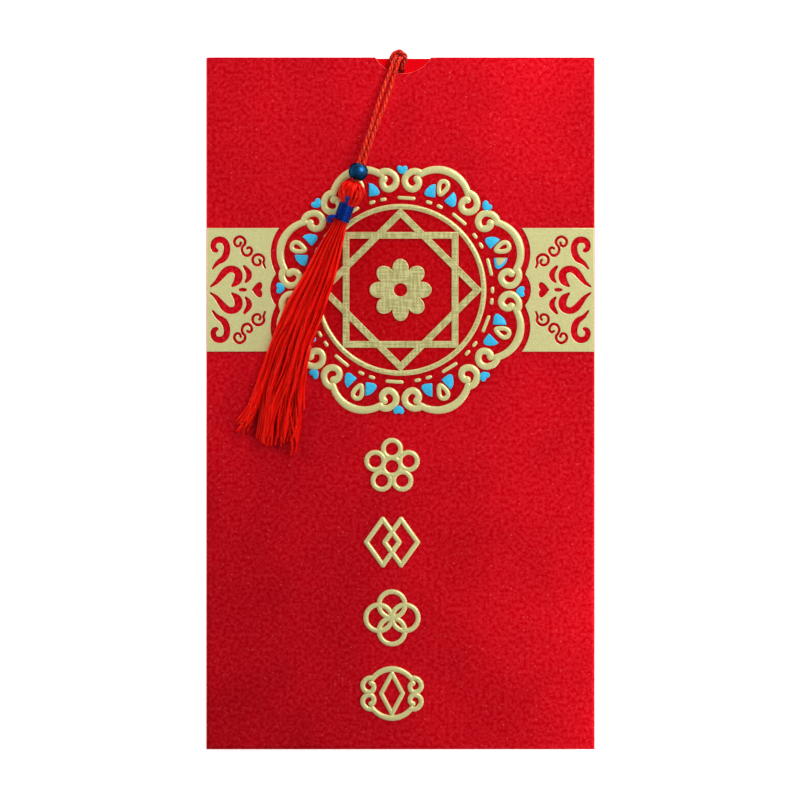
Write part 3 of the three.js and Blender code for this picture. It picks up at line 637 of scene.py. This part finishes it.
def addBinding():
    b = binding
    count = b["turns"] * b["steps"]
    wound = []
    for i in range(count + 1):
        angle = tau * i / b["steps"] + pi / 2
        away = b["radius"] * (1 + b["swell"] * sin(pi * i / count))
        wound.append((away * cos(angle), b["start"] + b["pitch"] * i / b["steps"],
                      cord["axisHeight"] + away * sin(angle)))
    addThreads("blue_winding", [[(onTassel(*point), 1.0) for point in wound]], b["thread"] / 2,
               [b["tone"]], threadBlue, "tassel", ["neck_binding"], rounding=2)
    routes = []
    for end, line in ((wound[0], b["tail"]), (wound[-1], b["knot"])):
        routes.append([(onTassel(end[0] + point.x, end[1] + point.y, end[2] + point.z), point.w)
                       for point in smoothLine(line, 5)])
    addThreads("binding_tails", routes, b["thread"] / 2, b["tailTones"], threadBlue,
               "tassel", (), rounding=2)


addHead()
addBinding()
print("head bound")

# The skirt: stations give its share, width, thickness, how far it has sunk and drift.
# Strays give their places at the start, middle and end, and their share of the length.
skirt = {
    "start": 47.4, "length": 64.2, "under": 3.75, "threads": 112, "layers": 5, "seed": 11,
    "threadRadius": 0.31, "steps": 36, "edge": 0.98, "stagger": 0.7, "cross": 0.3,
    "waver": 0.36, "together": 0.65, "swayPitch": 2.6, "lockSpread": 9, "curl": 0.1, "curlFrom": 0.86,
    "tufts": 5, "gather": 0.66, "gatherFrom": 0.6, "gatherPower": 1.4, "locks": 3.3,
    "ridge": 0.42, "ridgeSlant": 1.7, "crown": 0.5, "lift": 0.9, "liftPitch": 3,
    "thin": 0.45, "thinFor": 0.2, "tip": 0.8,
    "ends": 0.985, "endsBow": 0.022, "endsRise": 0.03, "ragged": (-0.035, 0.014),
    # Lower layers of threads are darker than the top one by this much: painted shade
    "tones": (0.7, 1.05), "paintedLayerShade": 0.25, "lockTone": 0.5, "lockPitch": 4.5, "darkest": 0.3,
    "stations": [
        (0, 3.7, 3.7, 0, 0), (0.12, 6.5, 4, 0.7, -0.5), (0.27, 9, 3.9, 1, -0.8),
        (0.4, 10.9, 3.6, 1, -1.5), (0.55, 11.3, 3.3, 1, -1.8), (0.7, 12.8, 3, 1, -1.2),
        (0.84, 15.9, 2.7, 1, -0.7), (0.94, 17.2, 2.4, 1, -0.4), (1, 16.8, 2.2, 1, -0.2)],
    "strays": [(0.9, 0.2, 1.15, 0.8), (1.0, 0.35, 0.62, 0.9), (-1.0, -0.2, 1.05, 0.98),
               (0.5, -0.5, 0.9, 1.0)],
    "strayLayer": 0.8, "strayTone": 0.9,
}


def skirtAt(share):
    stations = skirt["stations"]
    index = 0
    while index < len(stations) - 2 and stations[index + 1][0] < share:
        index += 1
    start, end = stations[index], stations[index + 1]
    t = min(1.0, (share - start[0]) / (end[0] - start[0]))
    return [a + (b - a) * t for a, b in zip(start, end)]


def pastShare(share, start):
    return max(0.0, (share - start) / (1 - start))


def threadRoute(places, layer, endShare, chance, lock=0.0, gather=0.0):
    # places: where the thread lies across the skirt at its start, middle and end
    s = skirt
    first, middle, last = places
    radius = s["threadRadius"]
    neckUnder = cord["axisHeight"] - s["stations"][0][2] / 2
    phase = chance.uniform(0, 50)
    curl = chance.uniform(-s["curl"], s["curl"])
    line = []
    for i in range(s["steps"] + 1):
        share = endShare * i / s["steps"]
        _, width, thick, sunk, drift = skirtAt(min(share, 1.0))
        under = neckUnder + (s["under"] - neckUnder) * sunk
        half = 2 * share / endShare
        place = first + (middle - first) * half if half < 1 else middle + (last - middle) * (half - 1)
        slow = share * s["swayPitch"]
        sway = s["together"] * noise.noise(Vector((s["lockSpread"] * lock, slow, 0)))
        sway += (1 - s["together"]) * noise.noise(Vector((phase, slow, 0)))
        tip = curl * pastShare(share / endShare, s["curlFrom"]) ** 2
        tip += gather * pastShare(share / endShare, s["gatherFrom"]) ** s["gatherPower"]
        across = max(-1.0, min(1.0, place + 2 * s["waver"] * share * sway)) + tip
        crown = 1 - s["crown"] * min(1, across ** 2)
        lift = s["lift"] * s["waver"] * noise.noise(Vector((phase, share * s["liftPitch"], 7)))
        slant = s["ridgeSlant"] * share
        ridge = s["ridge"] * (cos(tau * s["locks"] * across + slant) - 1) / 2
        level = max(0.0, min(1.0, layer * crown + lift * share + ridge * layer))
        height = under + radius + (thick - 2 * radius) * level
        swell = 1 - s["thin"] + s["thin"] * min(1.0, share / s["thinFor"])
        if i == s["steps"]:
            swell *= s["tip"]
        line.append((onTassel(drift + across * (width / 2 - radius),
                              s["start"] + s["length"] * share, height), swell))
    return line


def addSkirt():
    s = skirt
    edge, cross = s["edge"], s["cross"]
    chance = random.Random(s["seed"])
    routes, tones = [], []
    for k in range(s["threads"]):
        layer = (k % s["layers"]) / (s["layers"] - 1)
        beside = k + chance.uniform(-s["stagger"], s["stagger"])
        place = -edge + 2 * edge * beside / (s["threads"] - 1)
        places = [place]
        for most in (0.5, 1):
            places.append(place + chance.uniform(-most, most) * cross)
        places = [max(-edge, min(edge, spot)) for spot in places]
        _, middle, last = places
        endShare = s["ends"] - s["endsBow"] * abs(last) - s["endsRise"] * max(0, last)
        endShare += chance.uniform(*s["ragged"])
        tuft = (round((last + 1) / 2 * s["tufts"] - 0.5) + 0.5) / s["tufts"] * 2 - 1
        routes.append(threadRoute(places, layer, endShare, chance, tuft, (tuft - last) * s["gather"]))
        lock = s["lockTone"] * noise.noise(Vector((s["lockPitch"] * middle, 0, 3)))
        # Lower layers get darker tones: painted shade under the top threads
        tones.append(max(s["darkest"], chance.uniform(*s["tones"]) + s["paintedLayerShade"] * layer + lock))
    for *places, endShare in s["strays"]:
        routes.append(threadRoute(places, s["strayLayer"], endShare, chance))
        tones.append(s["strayTone"])
    addThreads("tassel_threads", routes, s["threadRadius"], tones, flossRed, "tassel",
               ["tassel_skirt"])


addSkirt()
print("skirt combed")

# The sleeve: one folded board with round folds, open at the top and notched. The
# cutters reach past it by the overshoot.
sleeve = {
    "width": 105, "height": 187, "board": 0.5, "fold": 1.1, "steps": 6,
    "notchWidth": 15, "notchDepth": 4.3, "notchShift": 0.7, "notchLean": 0.13, "notchSteps": 180,
    "seam": 0.14, "seamDepth": 0.22, "overshoot": 5, "softEdge": 0.07,
}


def block(low, high, foldRadius=0):
    # A box in millimetres, its long sides and bottom rounded if it has a fold radius
    shape = bmesh.new()
    bmesh.ops.create_cube(shape, size=1)
    bmesh.ops.scale(shape, vec=[(b - a) * mm for a, b in zip(low, high)], verts=shape.verts)
    bmesh.ops.translate(shape, vec=[(a + b) / 2 * mm for a, b in zip(low, high)], verts=shape.verts)
    if foldRadius:
        top = high[1] * mm - 1e-6
        folds = [edge for edge in shape.edges
                 if abs(edge.verts[0].co.z - edge.verts[1].co.z) < 1e-7
                 and not all(vert.co.y > top for vert in edge.verts)]
        bmesh.ops.bevel(shape, geom=folds, offset=foldRadius * mm, segments=sleeve["steps"],
                        profile=0.5, affect="EDGES", material=-1)
    bmesh.ops.recalc_face_normals(shape, faces=shape.faces)
    return meshFromShape(shape)


def notchCutter():
    # Its wall leans out towards both faces, so the cut board shows as a fine line
    s = sleeve
    chord, deep, past = s["notchWidth"] / 2, s["notchDepth"], s["overshoot"]
    radius = (chord ** 2 + deep ** 2) / (2 * deep)
    wide = radius + s["notchLean"]
    shape = spunShape([
        (0, -past), (wide, -past), (wide, 0), (radius, s["board"]), (radius, front - s["board"]),
        (wide, front), (wide, front + past), (0, front + past)], s["notchSteps"], closed=False)
    bmesh.ops.translate(shape, verts=shape.verts, vec=(
        s["notchShift"] * mm, (s["height"] / 2 - deep + radius) * mm, 0))
    return meshFromShape(shape)


def carve(piece, cutters):
    for mesh in cutters:
        cutter = newObject("cutter", mesh)
        cut = piece.modifiers.new("cut", "BOOLEAN")
        cut.operation = "DIFFERENCE"
        cut.solver = "EXACT"
        cut.object = cutter
        carved = bakedMesh(piece)
        piece.modifiers.clear()
        piece.data = carved
        bpy.data.objects.remove(cutter)


def addSleeve():
    s = sleeve
    halfX, halfY, wall = s["width"] / 2, s["height"] / 2, s["board"]
    looks = [redPearl, insideRed, cutBoard]
    outer = block((-halfX, -halfY, 0), (halfX, halfY, front), s["fold"])
    piece = addPiece("folded_sleeve", outer, looks)
    pocket = block((-halfX + wall, -halfY + wall, wall),
                   (halfX - wall, halfY + s["overshoot"], front - wall), s["fold"] - wall)
    notch = notchCutter()
    for cutter, index in ((pocket, 1), (notch, 2)):
        for made in looks:
            cutter.materials.append(made)
        cutter.polygons.foreach_set("material_index", [index] * len(cutter.polygons))
    low, right = -halfY + wall, halfX - wall
    sideSeam = block((right - s["seam"], low, -1), (right, halfY + 1, s["seamDepth"]))
    bottomSeam = block((-right, low, -1), (right, low + s["seam"], s["seamDepth"]))
    carve(piece, [pocket, notch, sideSeam, bottomSeam])
    edge = piece.modifiers.new("cut edges", "BEVEL")
    edge.width = s["softEdge"] * mm
    edge.segments = 2
    edge.limit_method = "ANGLE"
    edge.angle_limit = radians(60)
    finishPiece(piece, "sleeve",
                ["front_panel", "back_panel", "left_spine", "right_spine", "bottom_fold"], 35)


addSleeve()
for nodeName, made in (("side_glue_flap", insideRed), ("bottom_glue_flap", insideRed),
                       ("insert_card", insertRed)):
    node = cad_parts[nodeName]
    node.data.materials.clear()
    node.data.materials.append(made)
print("sleeve folded")


# Foil relief stands on the front, each motif with its height. Domed strokes are tubes
# pressed flat, with their lower halves in the board.
def addFoil(name, mesh, nodes=(), smoothAngle=60, looks=(goldPlain,)):
    finishPiece(addPiece(name, mesh, looks), "sleeve", nodes, smoothAngle)


def numbered(stem, count):
    return [f"{stem}_{i + 1}" for i in range(count)]


def flatRoute(points):
    # Flat points (x, y, width) as a route, relative to a width of 1
    return [((x * mm, y * mm, 0), width) for x, y, width in points]


capSteps, capLength = (3, 2, 1), 3.3  # the outermost step stops just short of the tip


def strokeRoute(points):
    # The same with round ends
    caps = []
    for end, inner in ((points[0], points[1]), (points[-1], points[-2])):
        away = (Vector(end[:2]) - Vector(inner[:2])).normalized()
        cap = []
        for step in capSteps:
            angle = pi / 2 * step / capLength
            spot = Vector(end[:2]) + away * end[2] / 2 * sin(angle)
            cap.append((spot.x, spot.y, end[2] * cos(angle)))
        caps.append(cap)
    return flatRoute(caps[0]) + flatRoute(points) + flatRoute(caps[1][::-1])


def domedMesh(strokes, widest, height, closed=False):
    routes = [flatRoute(line) if closed else strokeRoute(line) for line in strokes]
    mesh = tubeMesh(routes, 0.5, closed, rounding=4)
    press = height / (widest / 2)
    mesh.transform(Matrix.Translation((0, 0, front * mm)) @ Matrix.Diagonal((1, 1, press, 1)))
    return mesh


def anglesRound(steps):
    return [tau * i / steps for i in range(steps)]


def circleLine(x, y, radius, width, steps):
    return [(x + radius * cos(a), y + radius * sin(a), width) for a in anglesRound(steps)]


def turned(points, degrees, centre=medallion):
    # Points about the medallion's centre, turned clockwise and put in place
    cosine, sine = cos(-radians(degrees)), sin(-radians(degrees))
    out = []
    for x, y, *rest in points:
        out.append((x * cosine - y * sine + centre[0], x * sine + y * cosine + centre[1], *rest))
    return out


lobe = {
    "count": 8, "curls": 28.55, "across": 8.1, "radius": 2.3, "start": 112, "sweep": 340,
    "opening": 0.26, "openFor": 0.2, "closing": 0.52, "closeFor": 0.34, "tipWidth": 0.12,
    "tipFrom": 0.8, "stroke": 2.15, "curlStroke": 1.8, "rise": 3.5, "top": 34.45, "chord": 6.94,
    "height": 0.44, "archSteps": 24, "curlSteps": 40,
}
lobeBow = (lobe["chord"] ** 2 + lobe["rise"] ** 2) / (2 * lobe["rise"])
lobeStep = 360 / lobe["count"]
lobeTurns = [-lobeStep / 2 - lobeStep * i for i in range(lobe["count"])]


def lobeStrokes():
    p = lobe
    half = asin(p["chord"] / lobeBow)
    arch = []
    for i in range(p["archSteps"] + 1):
        t = i / p["archSteps"]
        angle = pi / 2 + half - 2 * half * t
        width = p["stroke"] - (p["stroke"] - p["curlStroke"]) * abs(2 * t - 1)
        arch.append((lobeBow * cos(angle), p["top"] - lobeBow + lobeBow * sin(angle), width))
    curl = []
    for i in range(p["curlSteps"] + 1):
        t = i / p["curlSteps"]
        angle = radians(p["start"] - p["sweep"] * t)
        opening = p["opening"] * max(0, 1 - t / p["openFor"])
        closing = p["closing"] * max(0, 1 - (1 - t) / p["closeFor"])
        radius = p["radius"] * (1 + opening - closing)
        width = p["curlStroke"] * (1 + p["tipWidth"] * pastShare(t, p["tipFrom"]))
        curl.append((p["across"] + radius * cos(angle), p["curls"] + radius * sin(angle), width))
    return [arch, curl, mirrored(curl)]


def addLobes():
    strokes = [turned(line, turn) for turn in lobeTurns for line in lobeStrokes()]
    addFoil("scroll_border", domedMesh(strokes, lobe["stroke"], lobe["height"]),
            numbered("scroll_lobe", lobe["count"]))


teardrop = {"radius": 29.8, "width": 3.6, "length": 5.0, "stroke": 1.25, "taper": 0.45,
            "widest": 1.09, "height": 0.36}


def addTeardrops():
    t = teardrop
    across = (t["width"] - t["stroke"]) / 2 / t["widest"]
    along = (t["length"] - t["stroke"]) / 2
    drop = [(across * cos(a) * (1 + t["taper"] * sin(a)),
             t["radius"] + along * sin(a), t["stroke"]) for a in anglesRound(28)]
    strokes = [turned(drop, turn) for turn in lobeTurns]
    addFoil("teardrops", domedMesh(strokes, t["stroke"], t["height"], closed=True),
            numbered("teardrop", lobe["count"]))


dashes = {"count": 10, "radius": 24.85, "length": 4.9, "width": 0.95, "turn": 3.7, "height": 0.24,
          "shortLength": 1.8, "shortTurns": (14.4, 21.5)}


def addDashes():
    d = dashes
    for name, length, places, nodes in (
            ("long_dashes", d["length"], (0,), numbered("ring_dash", d["count"])),
            ("short_dashes", d["shortLength"], d["shortTurns"], ())):
        half = (length - d["width"]) / 2
        line = [(x, d["radius"], d["width"]) for x in (-half, half)]
        strokes = [turned(line, d["turn"] + 360 / d["count"] * i + place)
                   for i in range(d["count"]) for place in places]
        addFoil(name, domedMesh(strokes, d["width"], d["height"]), nodes)


def flatMesh(outlines, height, bevel, lift=0.0):
    # Outlines are lists of (x, y): the first is the edge and the rest are holes
    lines = [[((x * mm, y * mm, 0), 1) for x, y in outline] for outline in outlines]
    mesh = curveMesh(lines, True, dimensions="2D", fill_mode="BOTH", bevel_depth=bevel * mm,
                     bevel_resolution=3, offset=-bevel * mm, extrude=(height / 2 - bevel) * mm)
    mesh.transform(Matrix.Translation((0, 0, (front + height / 2 + lift) * mm)))
    return mesh


# A pressed shape: its shoulders' steps are shares of the softness and of the height
puff = {"softness": 0.2, "sunk": 0.1, "wall": 0.5, "steps": ((0.3, 0.32), (0.7, 0.18))}


def puffedMesh(outline, height):
    shape = bmesh.new()
    floor = (front - puff["sunk"]) * mm
    ground = shape.faces.new([shape.verts.new((x * mm, y * mm, floor)) for x, y in outline])
    ground.normal_update()
    if ground.normal.z < 0:
        ground.normal_flip()
    grown = bmesh.ops.extrude_face_region(shape, geom=[ground])["geom"]
    top = [item for item in grown if isinstance(item, bmesh.types.BMFace)]
    bmesh.ops.translate(shape, vec=(0, 0, (puff["sunk"] + height * puff["wall"]) * mm),
                        verts=[item for item in grown if isinstance(item, bmesh.types.BMVert)])
    for width, depth in puff["steps"]:
        bmesh.ops.inset_region(shape, faces=top, use_even_offset=True,
                               thickness=puff["softness"] * width * mm, depth=height * depth * mm)
    bmesh.ops.recalc_face_normals(shape, faces=shape.faces)
    return meshFromShape(shape)


def joinMeshes(meshes):
    shape = bmesh.new()
    for mesh in meshes:
        shape.from_mesh(mesh)
        bpy.data.meshes.remove(mesh)
    return meshFromShape(shape)


# Half a heart and a right petal; on one lobe gold foil overlaps most of a petal
blue = {
    "heartRadius": 32.45, "heartTurn": 0.8, "heartHeight": 0.3, "petalTurn": 0.9, "petalHeight": 0.28,
    "heart": [(0, -1.2), (0.55, -1.0), (1.15, -0.4), (1.45, 0.25), (1.3, 0.85), (0.8, 1.1),
              (0.3, 0.98), (0, 0.78)],
    "petal": [(2.65, 30.0), (3.4, 29.5), (3.95, 28.8), (4.35, 27.8), (4.5, 26.9), (4.3, 26.3),
              (3.55, 26.05), (2.4, 26.3), (1.45, 26.6), (1.5, 27.1), (2.1, 28.6)],
    "goldLobe": 6, "goldShare": 0.72, "goldFrom": (1.75, 28.6), "goldHeight": 0.36,
}


def roundOutline(points, steps):
    # A smooth closed outline
    return [tuple(point) for point in smoothLine(points + points[:1], steps)[:-1]]


def addBlueFoil():
    b = blue
    whole = b["heart"] + mirrored(b["heart"][-2:0:-1])
    heart = [(x, y + b["heartRadius"]) for x, y in roundOutline(whole, 4)]
    hearts = [puffedMesh(turned(heart, b["heartTurn"] - lobeStep * i), b["heartHeight"])
              for i in range(lobe["count"])]
    addFoil("blue_hearts", joinMeshes(hearts), numbered("heart", lobe["count"]), 50,
            [blueRelief])
    right = roundOutline(b["petal"], 3)
    left = mirrored(right[::-1])
    turns = [b["petalTurn"] - lobeStep / 2 - lobeStep * i for i in range(lobe["count"])]
    petals = [puffedMesh(turned(petal, turn), b["petalHeight"])
              for turn in turns for petal in (right, left)]
    addFoil("blue_petals", joinMeshes(petals), (), 50, [blueRelief])
    stillX, stillY = b["goldFrom"]
    over = [(stillX + (x - stillX) * b["goldShare"], stillY + (y - stillY) * b["goldShare"])
            for x, y in right]
    outline = turned(over, turns[b["goldLobe"]])
    addFoil("gold_petal", puffedMesh(outline, b["goldHeight"]), (), 50)


# The ring holds a star of two square frames and a rosette
ring = {
    "radius": 22.5, "stroke": 1.42, "height": 0.44, "steps": 128,
    "bar": 1.8, "reach": 22.1, "barHeight": 0.31, "barBevel": 0.12, "upper": 0.02,
    "rosette": 8.4, "waist": 5.6, "hole": 1.8, "petals": 8, "roundness": 0.7,
    "rosetteHeight": 0.33, "rosetteBevel": 0.16,
}
flatFace = 0.98  # a normal this far up belongs to a flat top


def useSecondLook(mesh, chosen):
    mesh.polygons.foreach_set("material_index", [int(chosen(face.normal.z)) for face in mesh.polygons])


def squareOutline(half, degrees):
    return turned([(-half, -half), (half, -half), (half, half), (-half, half)], degrees)


def addRing():
    r = ring
    circle = circleLine(*medallion, r["radius"], r["stroke"], r["steps"])
    parts = [domedMesh([circle], r["stroke"], r["height"], closed=True)]
    half = r["reach"] / sqrt(2)
    for turn, lift in ((0, 0.0), (45, r["upper"])):
        outlines = [squareOutline(half, turn), squareOutline(half - r["bar"], turn)]
        parts.append(flatMesh(outlines, r["barHeight"], r["barBevel"], lift))
    star = joinMeshes(parts)

    outline = []
    for angle in anglesRound(r["steps"]):
        swell = abs(cos(r["petals"] / 2 * angle)) ** r["roundness"]
        radius = r["waist"] + (r["rosette"] - r["waist"]) * swell
        outline.append((medallion[0] + radius * cos(angle), medallion[1] + radius * sin(angle)))
    hole = [(x, y) for x, y, _ in circleLine(*medallion, r["hole"], 0, 40)]
    rosette = flatMesh([outline, hole], r["rosetteHeight"], r["rosetteBevel"])
    for name, mesh, node in (("ring_and_star", star, "medallion_ring"),
                             ("rosette", rosette, "medallion_rosette")):
        addFoil(name, mesh, [node], 40, [goldPlain, goldWoven])
        useSecondLook(mesh, lambda up: abs(up) > flatFace)


# Side bands with red motifs left open: strokes of distance in from the card's
# edge, height above the band's middle and width, upper half only
band = {
    "half": 16.7, "steps": 48, "edge": 0.2, "gap": 1.5, "heartReach": 35.2, "heartBow": 6.5,
    "swell": 0.22, "height": 0.3, "bevel": 0.14, "bean": (14, 4.2, 3.1), "lozenge": (9.9, 2.3, 1.05),
    "strokes": [
        [(10.2, 6.4, 0.5), (11.45, 4.7, 1.3), (11.5, 3.3, 1.2), (10.6, 2, 0.4)],
        [(6.9, 0.9, 0.3), (8.4, 2.3, 1.8), (8.8, 4, 1.9), (8, 5.3, 1.7), (6.4, 5.6, 1.6),
         (5.1, 4.9, 1.7), (3.9, 3.5, 1.4), (2.7, 2, 0.9), (1.1, 0.8, 0.25)],
        [(1.7, 5.6, 0.25), (3, 7.2, 0.9), (4.7, 8.4, 1.5), (5.5, 10, 1.6), (5.6, 11.8, 1.5),
         (4.9, 13.1, 1.5), (3.7, 13.55, 1.5), (2.4, 13.1, 1.4), (1.9, 11.9, 1.3),
         (2.2, 10.9, 1.2), (3, 10.5, 0.8)],
        [(9.4, 12.85, 0.5), (9.0, 11.9, 0.5), (8.1, 11.9, 0.5), (7.6, 12.95, 0.55),
         (8.2, 14.0, 0.55), (9.25, 14.35, 0.55), (10.3, 13.65, 0.55), (10.5, 12.5, 0.55),
         (9.8, 11.55, 0.5), (9.7, 10.5, 0.5), (10.3, 9.5, 0.55), (11.35, 9.25, 0.55),
         (12.15, 9.95, 0.55), (12.3, 10.85, 0.55), (11.7, 11.45, 0.5), (11.0, 11.1, 0.5)],
        [(16.0, 5.85, 0.3), (15.5, 7.15, 0.45), (15.65, 8.3, 0.5), (14.95, 9.25, 0.55),
         (13.8, 9.5, 0.55), (12.75, 8.8, 0.55), (12.6, 7.6, 0.55), (13.2, 6.8, 0.5),
         (14.25, 6.7, 0.5), (14.7, 7.5, 0.45), (14.25, 8.2, 0.45)],
    ],
}


def strokeOutline(points):
    # The edge of a stroke of changing width
    line = smoothLine(points, 4)
    left, right = [], []
    for i, point in enumerate(line):
        ahead = (line[min(i + 1, len(line) - 1)] - line[max(i - 1, 0)]).to_2d().normalized()
        side = Vector((-ahead.y, ahead.x)) * (point.z + band["swell"]) / 2
        left.append(tuple(point.to_2d() + side))
        right.insert(0, tuple(point.to_2d() - side))
    tips = []
    for end, inner in ((line[-1], line[-2]), (line[0], line[1])):
        away = (end.to_2d() - inner.to_2d()).normalized()
        tips.append(tuple(end.to_2d() + away * end.z / 2))
    return left + [tips[0]] + right + [tips[1]]


def bandOutlines(side):
    # Its inner edge keeps a gap from the lobes and the blue heart between them
    b = band
    cardEdge = sleeve["width"] / 2
    lobeX = (lobe["top"] - lobeBow) * cos(pi / lobe["count"])
    lobeY = (lobe["top"] - lobeBow) * sin(pi / lobe["count"])
    lobeRadius = lobeBow + lobe["stroke"] / 2 + b["gap"]
    outer = cardEdge - b["edge"]
    edge = [(side * outer, -b["half"]), (side * outer, b["half"])]
    for i in range(b["steps"] + 1):
        y = b["half"] - 2 * b["half"] * i / b["steps"]
        beside = sqrt(max(0, lobeRadius ** 2 - (abs(y) - lobeY) ** 2))
        middle = sqrt(max(0, b["heartBow"] ** 2 - y * y))
        edge.append((side * max(lobeX + beside, b["heartReach"] - b["heartBow"] + middle), y))
    holes = []
    for points in b["strokes"]:
        drawn = strokeOutline(points)
        for up in (1, -1):
            holes.append([(side * (cardEdge - x), up * y) for x, y in drawn])
    inward, width, height = b["bean"]
    holes.append([(side * (cardEdge - inward - y), x) for x, y in heartOutline(width, height)])
    inward, width, height = b["lozenge"]
    holes.append([(side * (cardEdge - inward - width / 2 * cos(a)), height / 2 * sin(a))
                  for a in anglesRound(16)])
    return [[(x, y + medallion[1]) for x, y in outline] for outline in [edge, *holes]]


def heartOutline(width, height):
    return [(-width / 2 * sin(a) ** 3,
             height * (13 * cos(a) - 5 * cos(2 * a) - 2 * cos(3 * a)) / 29)
            for a in anglesRound(28)]


def addBands():
    for name, side in (("left", -1), ("right", 1)):
        mesh = flatMesh(bandOutlines(side), band["height"], band["bevel"])
        addFoil(f"gold_band_{name}", mesh, [f"foil_band_{name}"], 40, [goldPlain, goldPaintedHighlight])
        # Every sloped face takes the lighter gold: a painted highlight along the band's edges
        useSecondLook(mesh, lambda up: up < flatFace)


# Four generic ornaments in a column, each of closed rings and open lines. The petals,
# links, rings and lozenge are shares of the size.
ornament = {"x": -2.3, "top": -17, "pitch": 20.45, "size": 15.5, "stroke": 1.35, "height": 0.44,
            "petal": 0.195, "link": (0.34, 0.47), "ring": 0.27, "lozenge": (0.24, 0.43)}


def lozengeStrokes(x, across, along, width):
    corners = [(x + across, 0), (x, along), (x - across, 0), (x, -along)]
    return [[(*a, width), (*b, width)] for a, b in zip(corners, corners[1:] + corners[:1])]


def blossomStrokes(size, width):
    petal = ornament["petal"] * size
    reach = size / 2 - petal
    rings = [circleLine(0, 0, reach - petal + width / 2, width, 32)]
    for turn in anglesRound(5):
        angle = pi / 2 + turn
        rings.append(circleLine(reach * cos(angle), reach * sin(angle), petal - width / 2, width, 36))
    return rings, []


def linkStrokes(size, width):
    across, along = [share * size for share in ornament["link"]]
    shift = size / 2 - across
    return [], [line for x in (-shift, shift)
                for line in lozengeStrokes(x, across - width * 0.6, along - width * 0.8, width)]


def fourRingStrokes(size, width):
    radius = ornament["ring"] * size
    reach = size / 2 - radius
    return [circleLine(x * reach, y * reach, radius - width / 2, width, 44)
            for x, y in ((0, 1), (1, 0), (0, -1), (-1, 0))], []


def cloudStrokes(size, width):
    # Two of the border's lobes face each other round a lozenge
    lowest = lobe["curls"] - lobe["radius"] - lobe["curlStroke"] / 2
    scale = size / (2 * (lobe["top"] + lobe["stroke"] / 2 - lowest))
    upper = [[(x * scale, (y - lowest - 0.4) * scale, w * scale) for x, y, w in line]
             for line in lobeStrokes()]
    lower = [[(-x, -y, w) for x, y, w in line] for line in upper]
    across, along = [share * size for share in ornament["lozenge"]]
    middle = lozengeStrokes(0, across - width * 0.6, along - width * 0.9, width * 0.9)
    return [], upper + lower + middle


def addOrnaments():
    o = ornament
    for i, draw in enumerate((blossomStrokes, linkStrokes, fourRingStrokes, cloudStrokes)):
        centre = (o["x"], o["top"] - i * o["pitch"])
        rings, lines = draw(o["size"], o["stroke"])
        parts = [domedMesh([turned(line, 0, centre) for line in group], o["stroke"],
                           o["height"], closed)
                 for group, closed in ((rings, True), (lines, False)) if group]
        addFoil(f"emboss_{i + 1}", joinMeshes(parts), [f"ornament_{i + 1}"])


addLobes()
addTeardrops()
addDashes()
addBlueFoil()
addRing()
addBands()
addOrnaments()
print("foil pressed")

# Studio: a white floor, a soft key from the upper right, three small lamps and an even
# sky. Each lamp has its place, size and power, in metres here.
studio = {
    "lamps": {
        "key": ((0.22, 0.20, 0.25), 0.25, 0.52), "side": ((0.15, -0.09, 0.06), 0.08, 0.2),
        "top": ((0.06, 0.20, 0.06), 0.06, 0.215), "left": ((-0.16, 0.06, 0.06), 0.06, 0.1)},
    "sky": 0.285, "floor": (0.85, 0.85, 0.85), "floorGlow": 0.75, "floorSize": 3,
    "floorDrop": 0.25 * mm,
}


def addLamp(name, place, size, power):
    light = bpy.data.lights.new(name, "AREA")
    light.shape = "DISK"
    light.size = size
    light.energy = power
    lamp = newObject(name, light)
    lamp.location = place
    lamp.rotation_euler = (-Vector(place)).to_track_quat("-Z", "Y").to_euler()
    lamp.visible_camera = False
    lamp.visible_glossy = name == "key"


def addFloor():
    made, tree, shader = newMaterial("floor", 0.9, specular=0.1)
    feed(tree, shader, {
        "Base Color": studio["floor"], "Emission Color": (1, 1, 1),
        "Emission Strength": studio["floorGlow"]})
    # Seen from below the floor is clear, so the card's back shows
    behind = addNode(tree, "NewGeometry", {})["Backfacing"]
    clear = addNode(tree, "BsdfTransparent", {})["BSDF"]
    surface = addNode(tree, "MixShader", {"Fac": behind, 1: shader.outputs["BSDF"], 2: clear})
    feed(tree, tree.nodes["Material Output"], {"Surface": surface["Shader"]})
    shape = bmesh.new()
    bmesh.ops.create_grid(shape, x_segments=1, y_segments=1, size=studio["floorSize"])
    bmesh.ops.translate(shape, vec=(0, 0, -studio["floorDrop"]), verts=shape.verts)
    floor = addPiece("floor", meshFromShape(shape), [made])


def addStudio():
    for name, lamp in studio["lamps"].items():
        addLamp(name, *lamp)
    sky = bpy.data.worlds.new("sky")
    sky.use_nodes = True
    feed(sky.node_tree, sky.node_tree.nodes["Background"], {
        "Color": (1, 1, 1), "Strength": studio["sky"]})
    scene.world = sky
    addFloor()
    scene.view_settings.view_transform = "Standard"


addStudio()
print("studio lit")
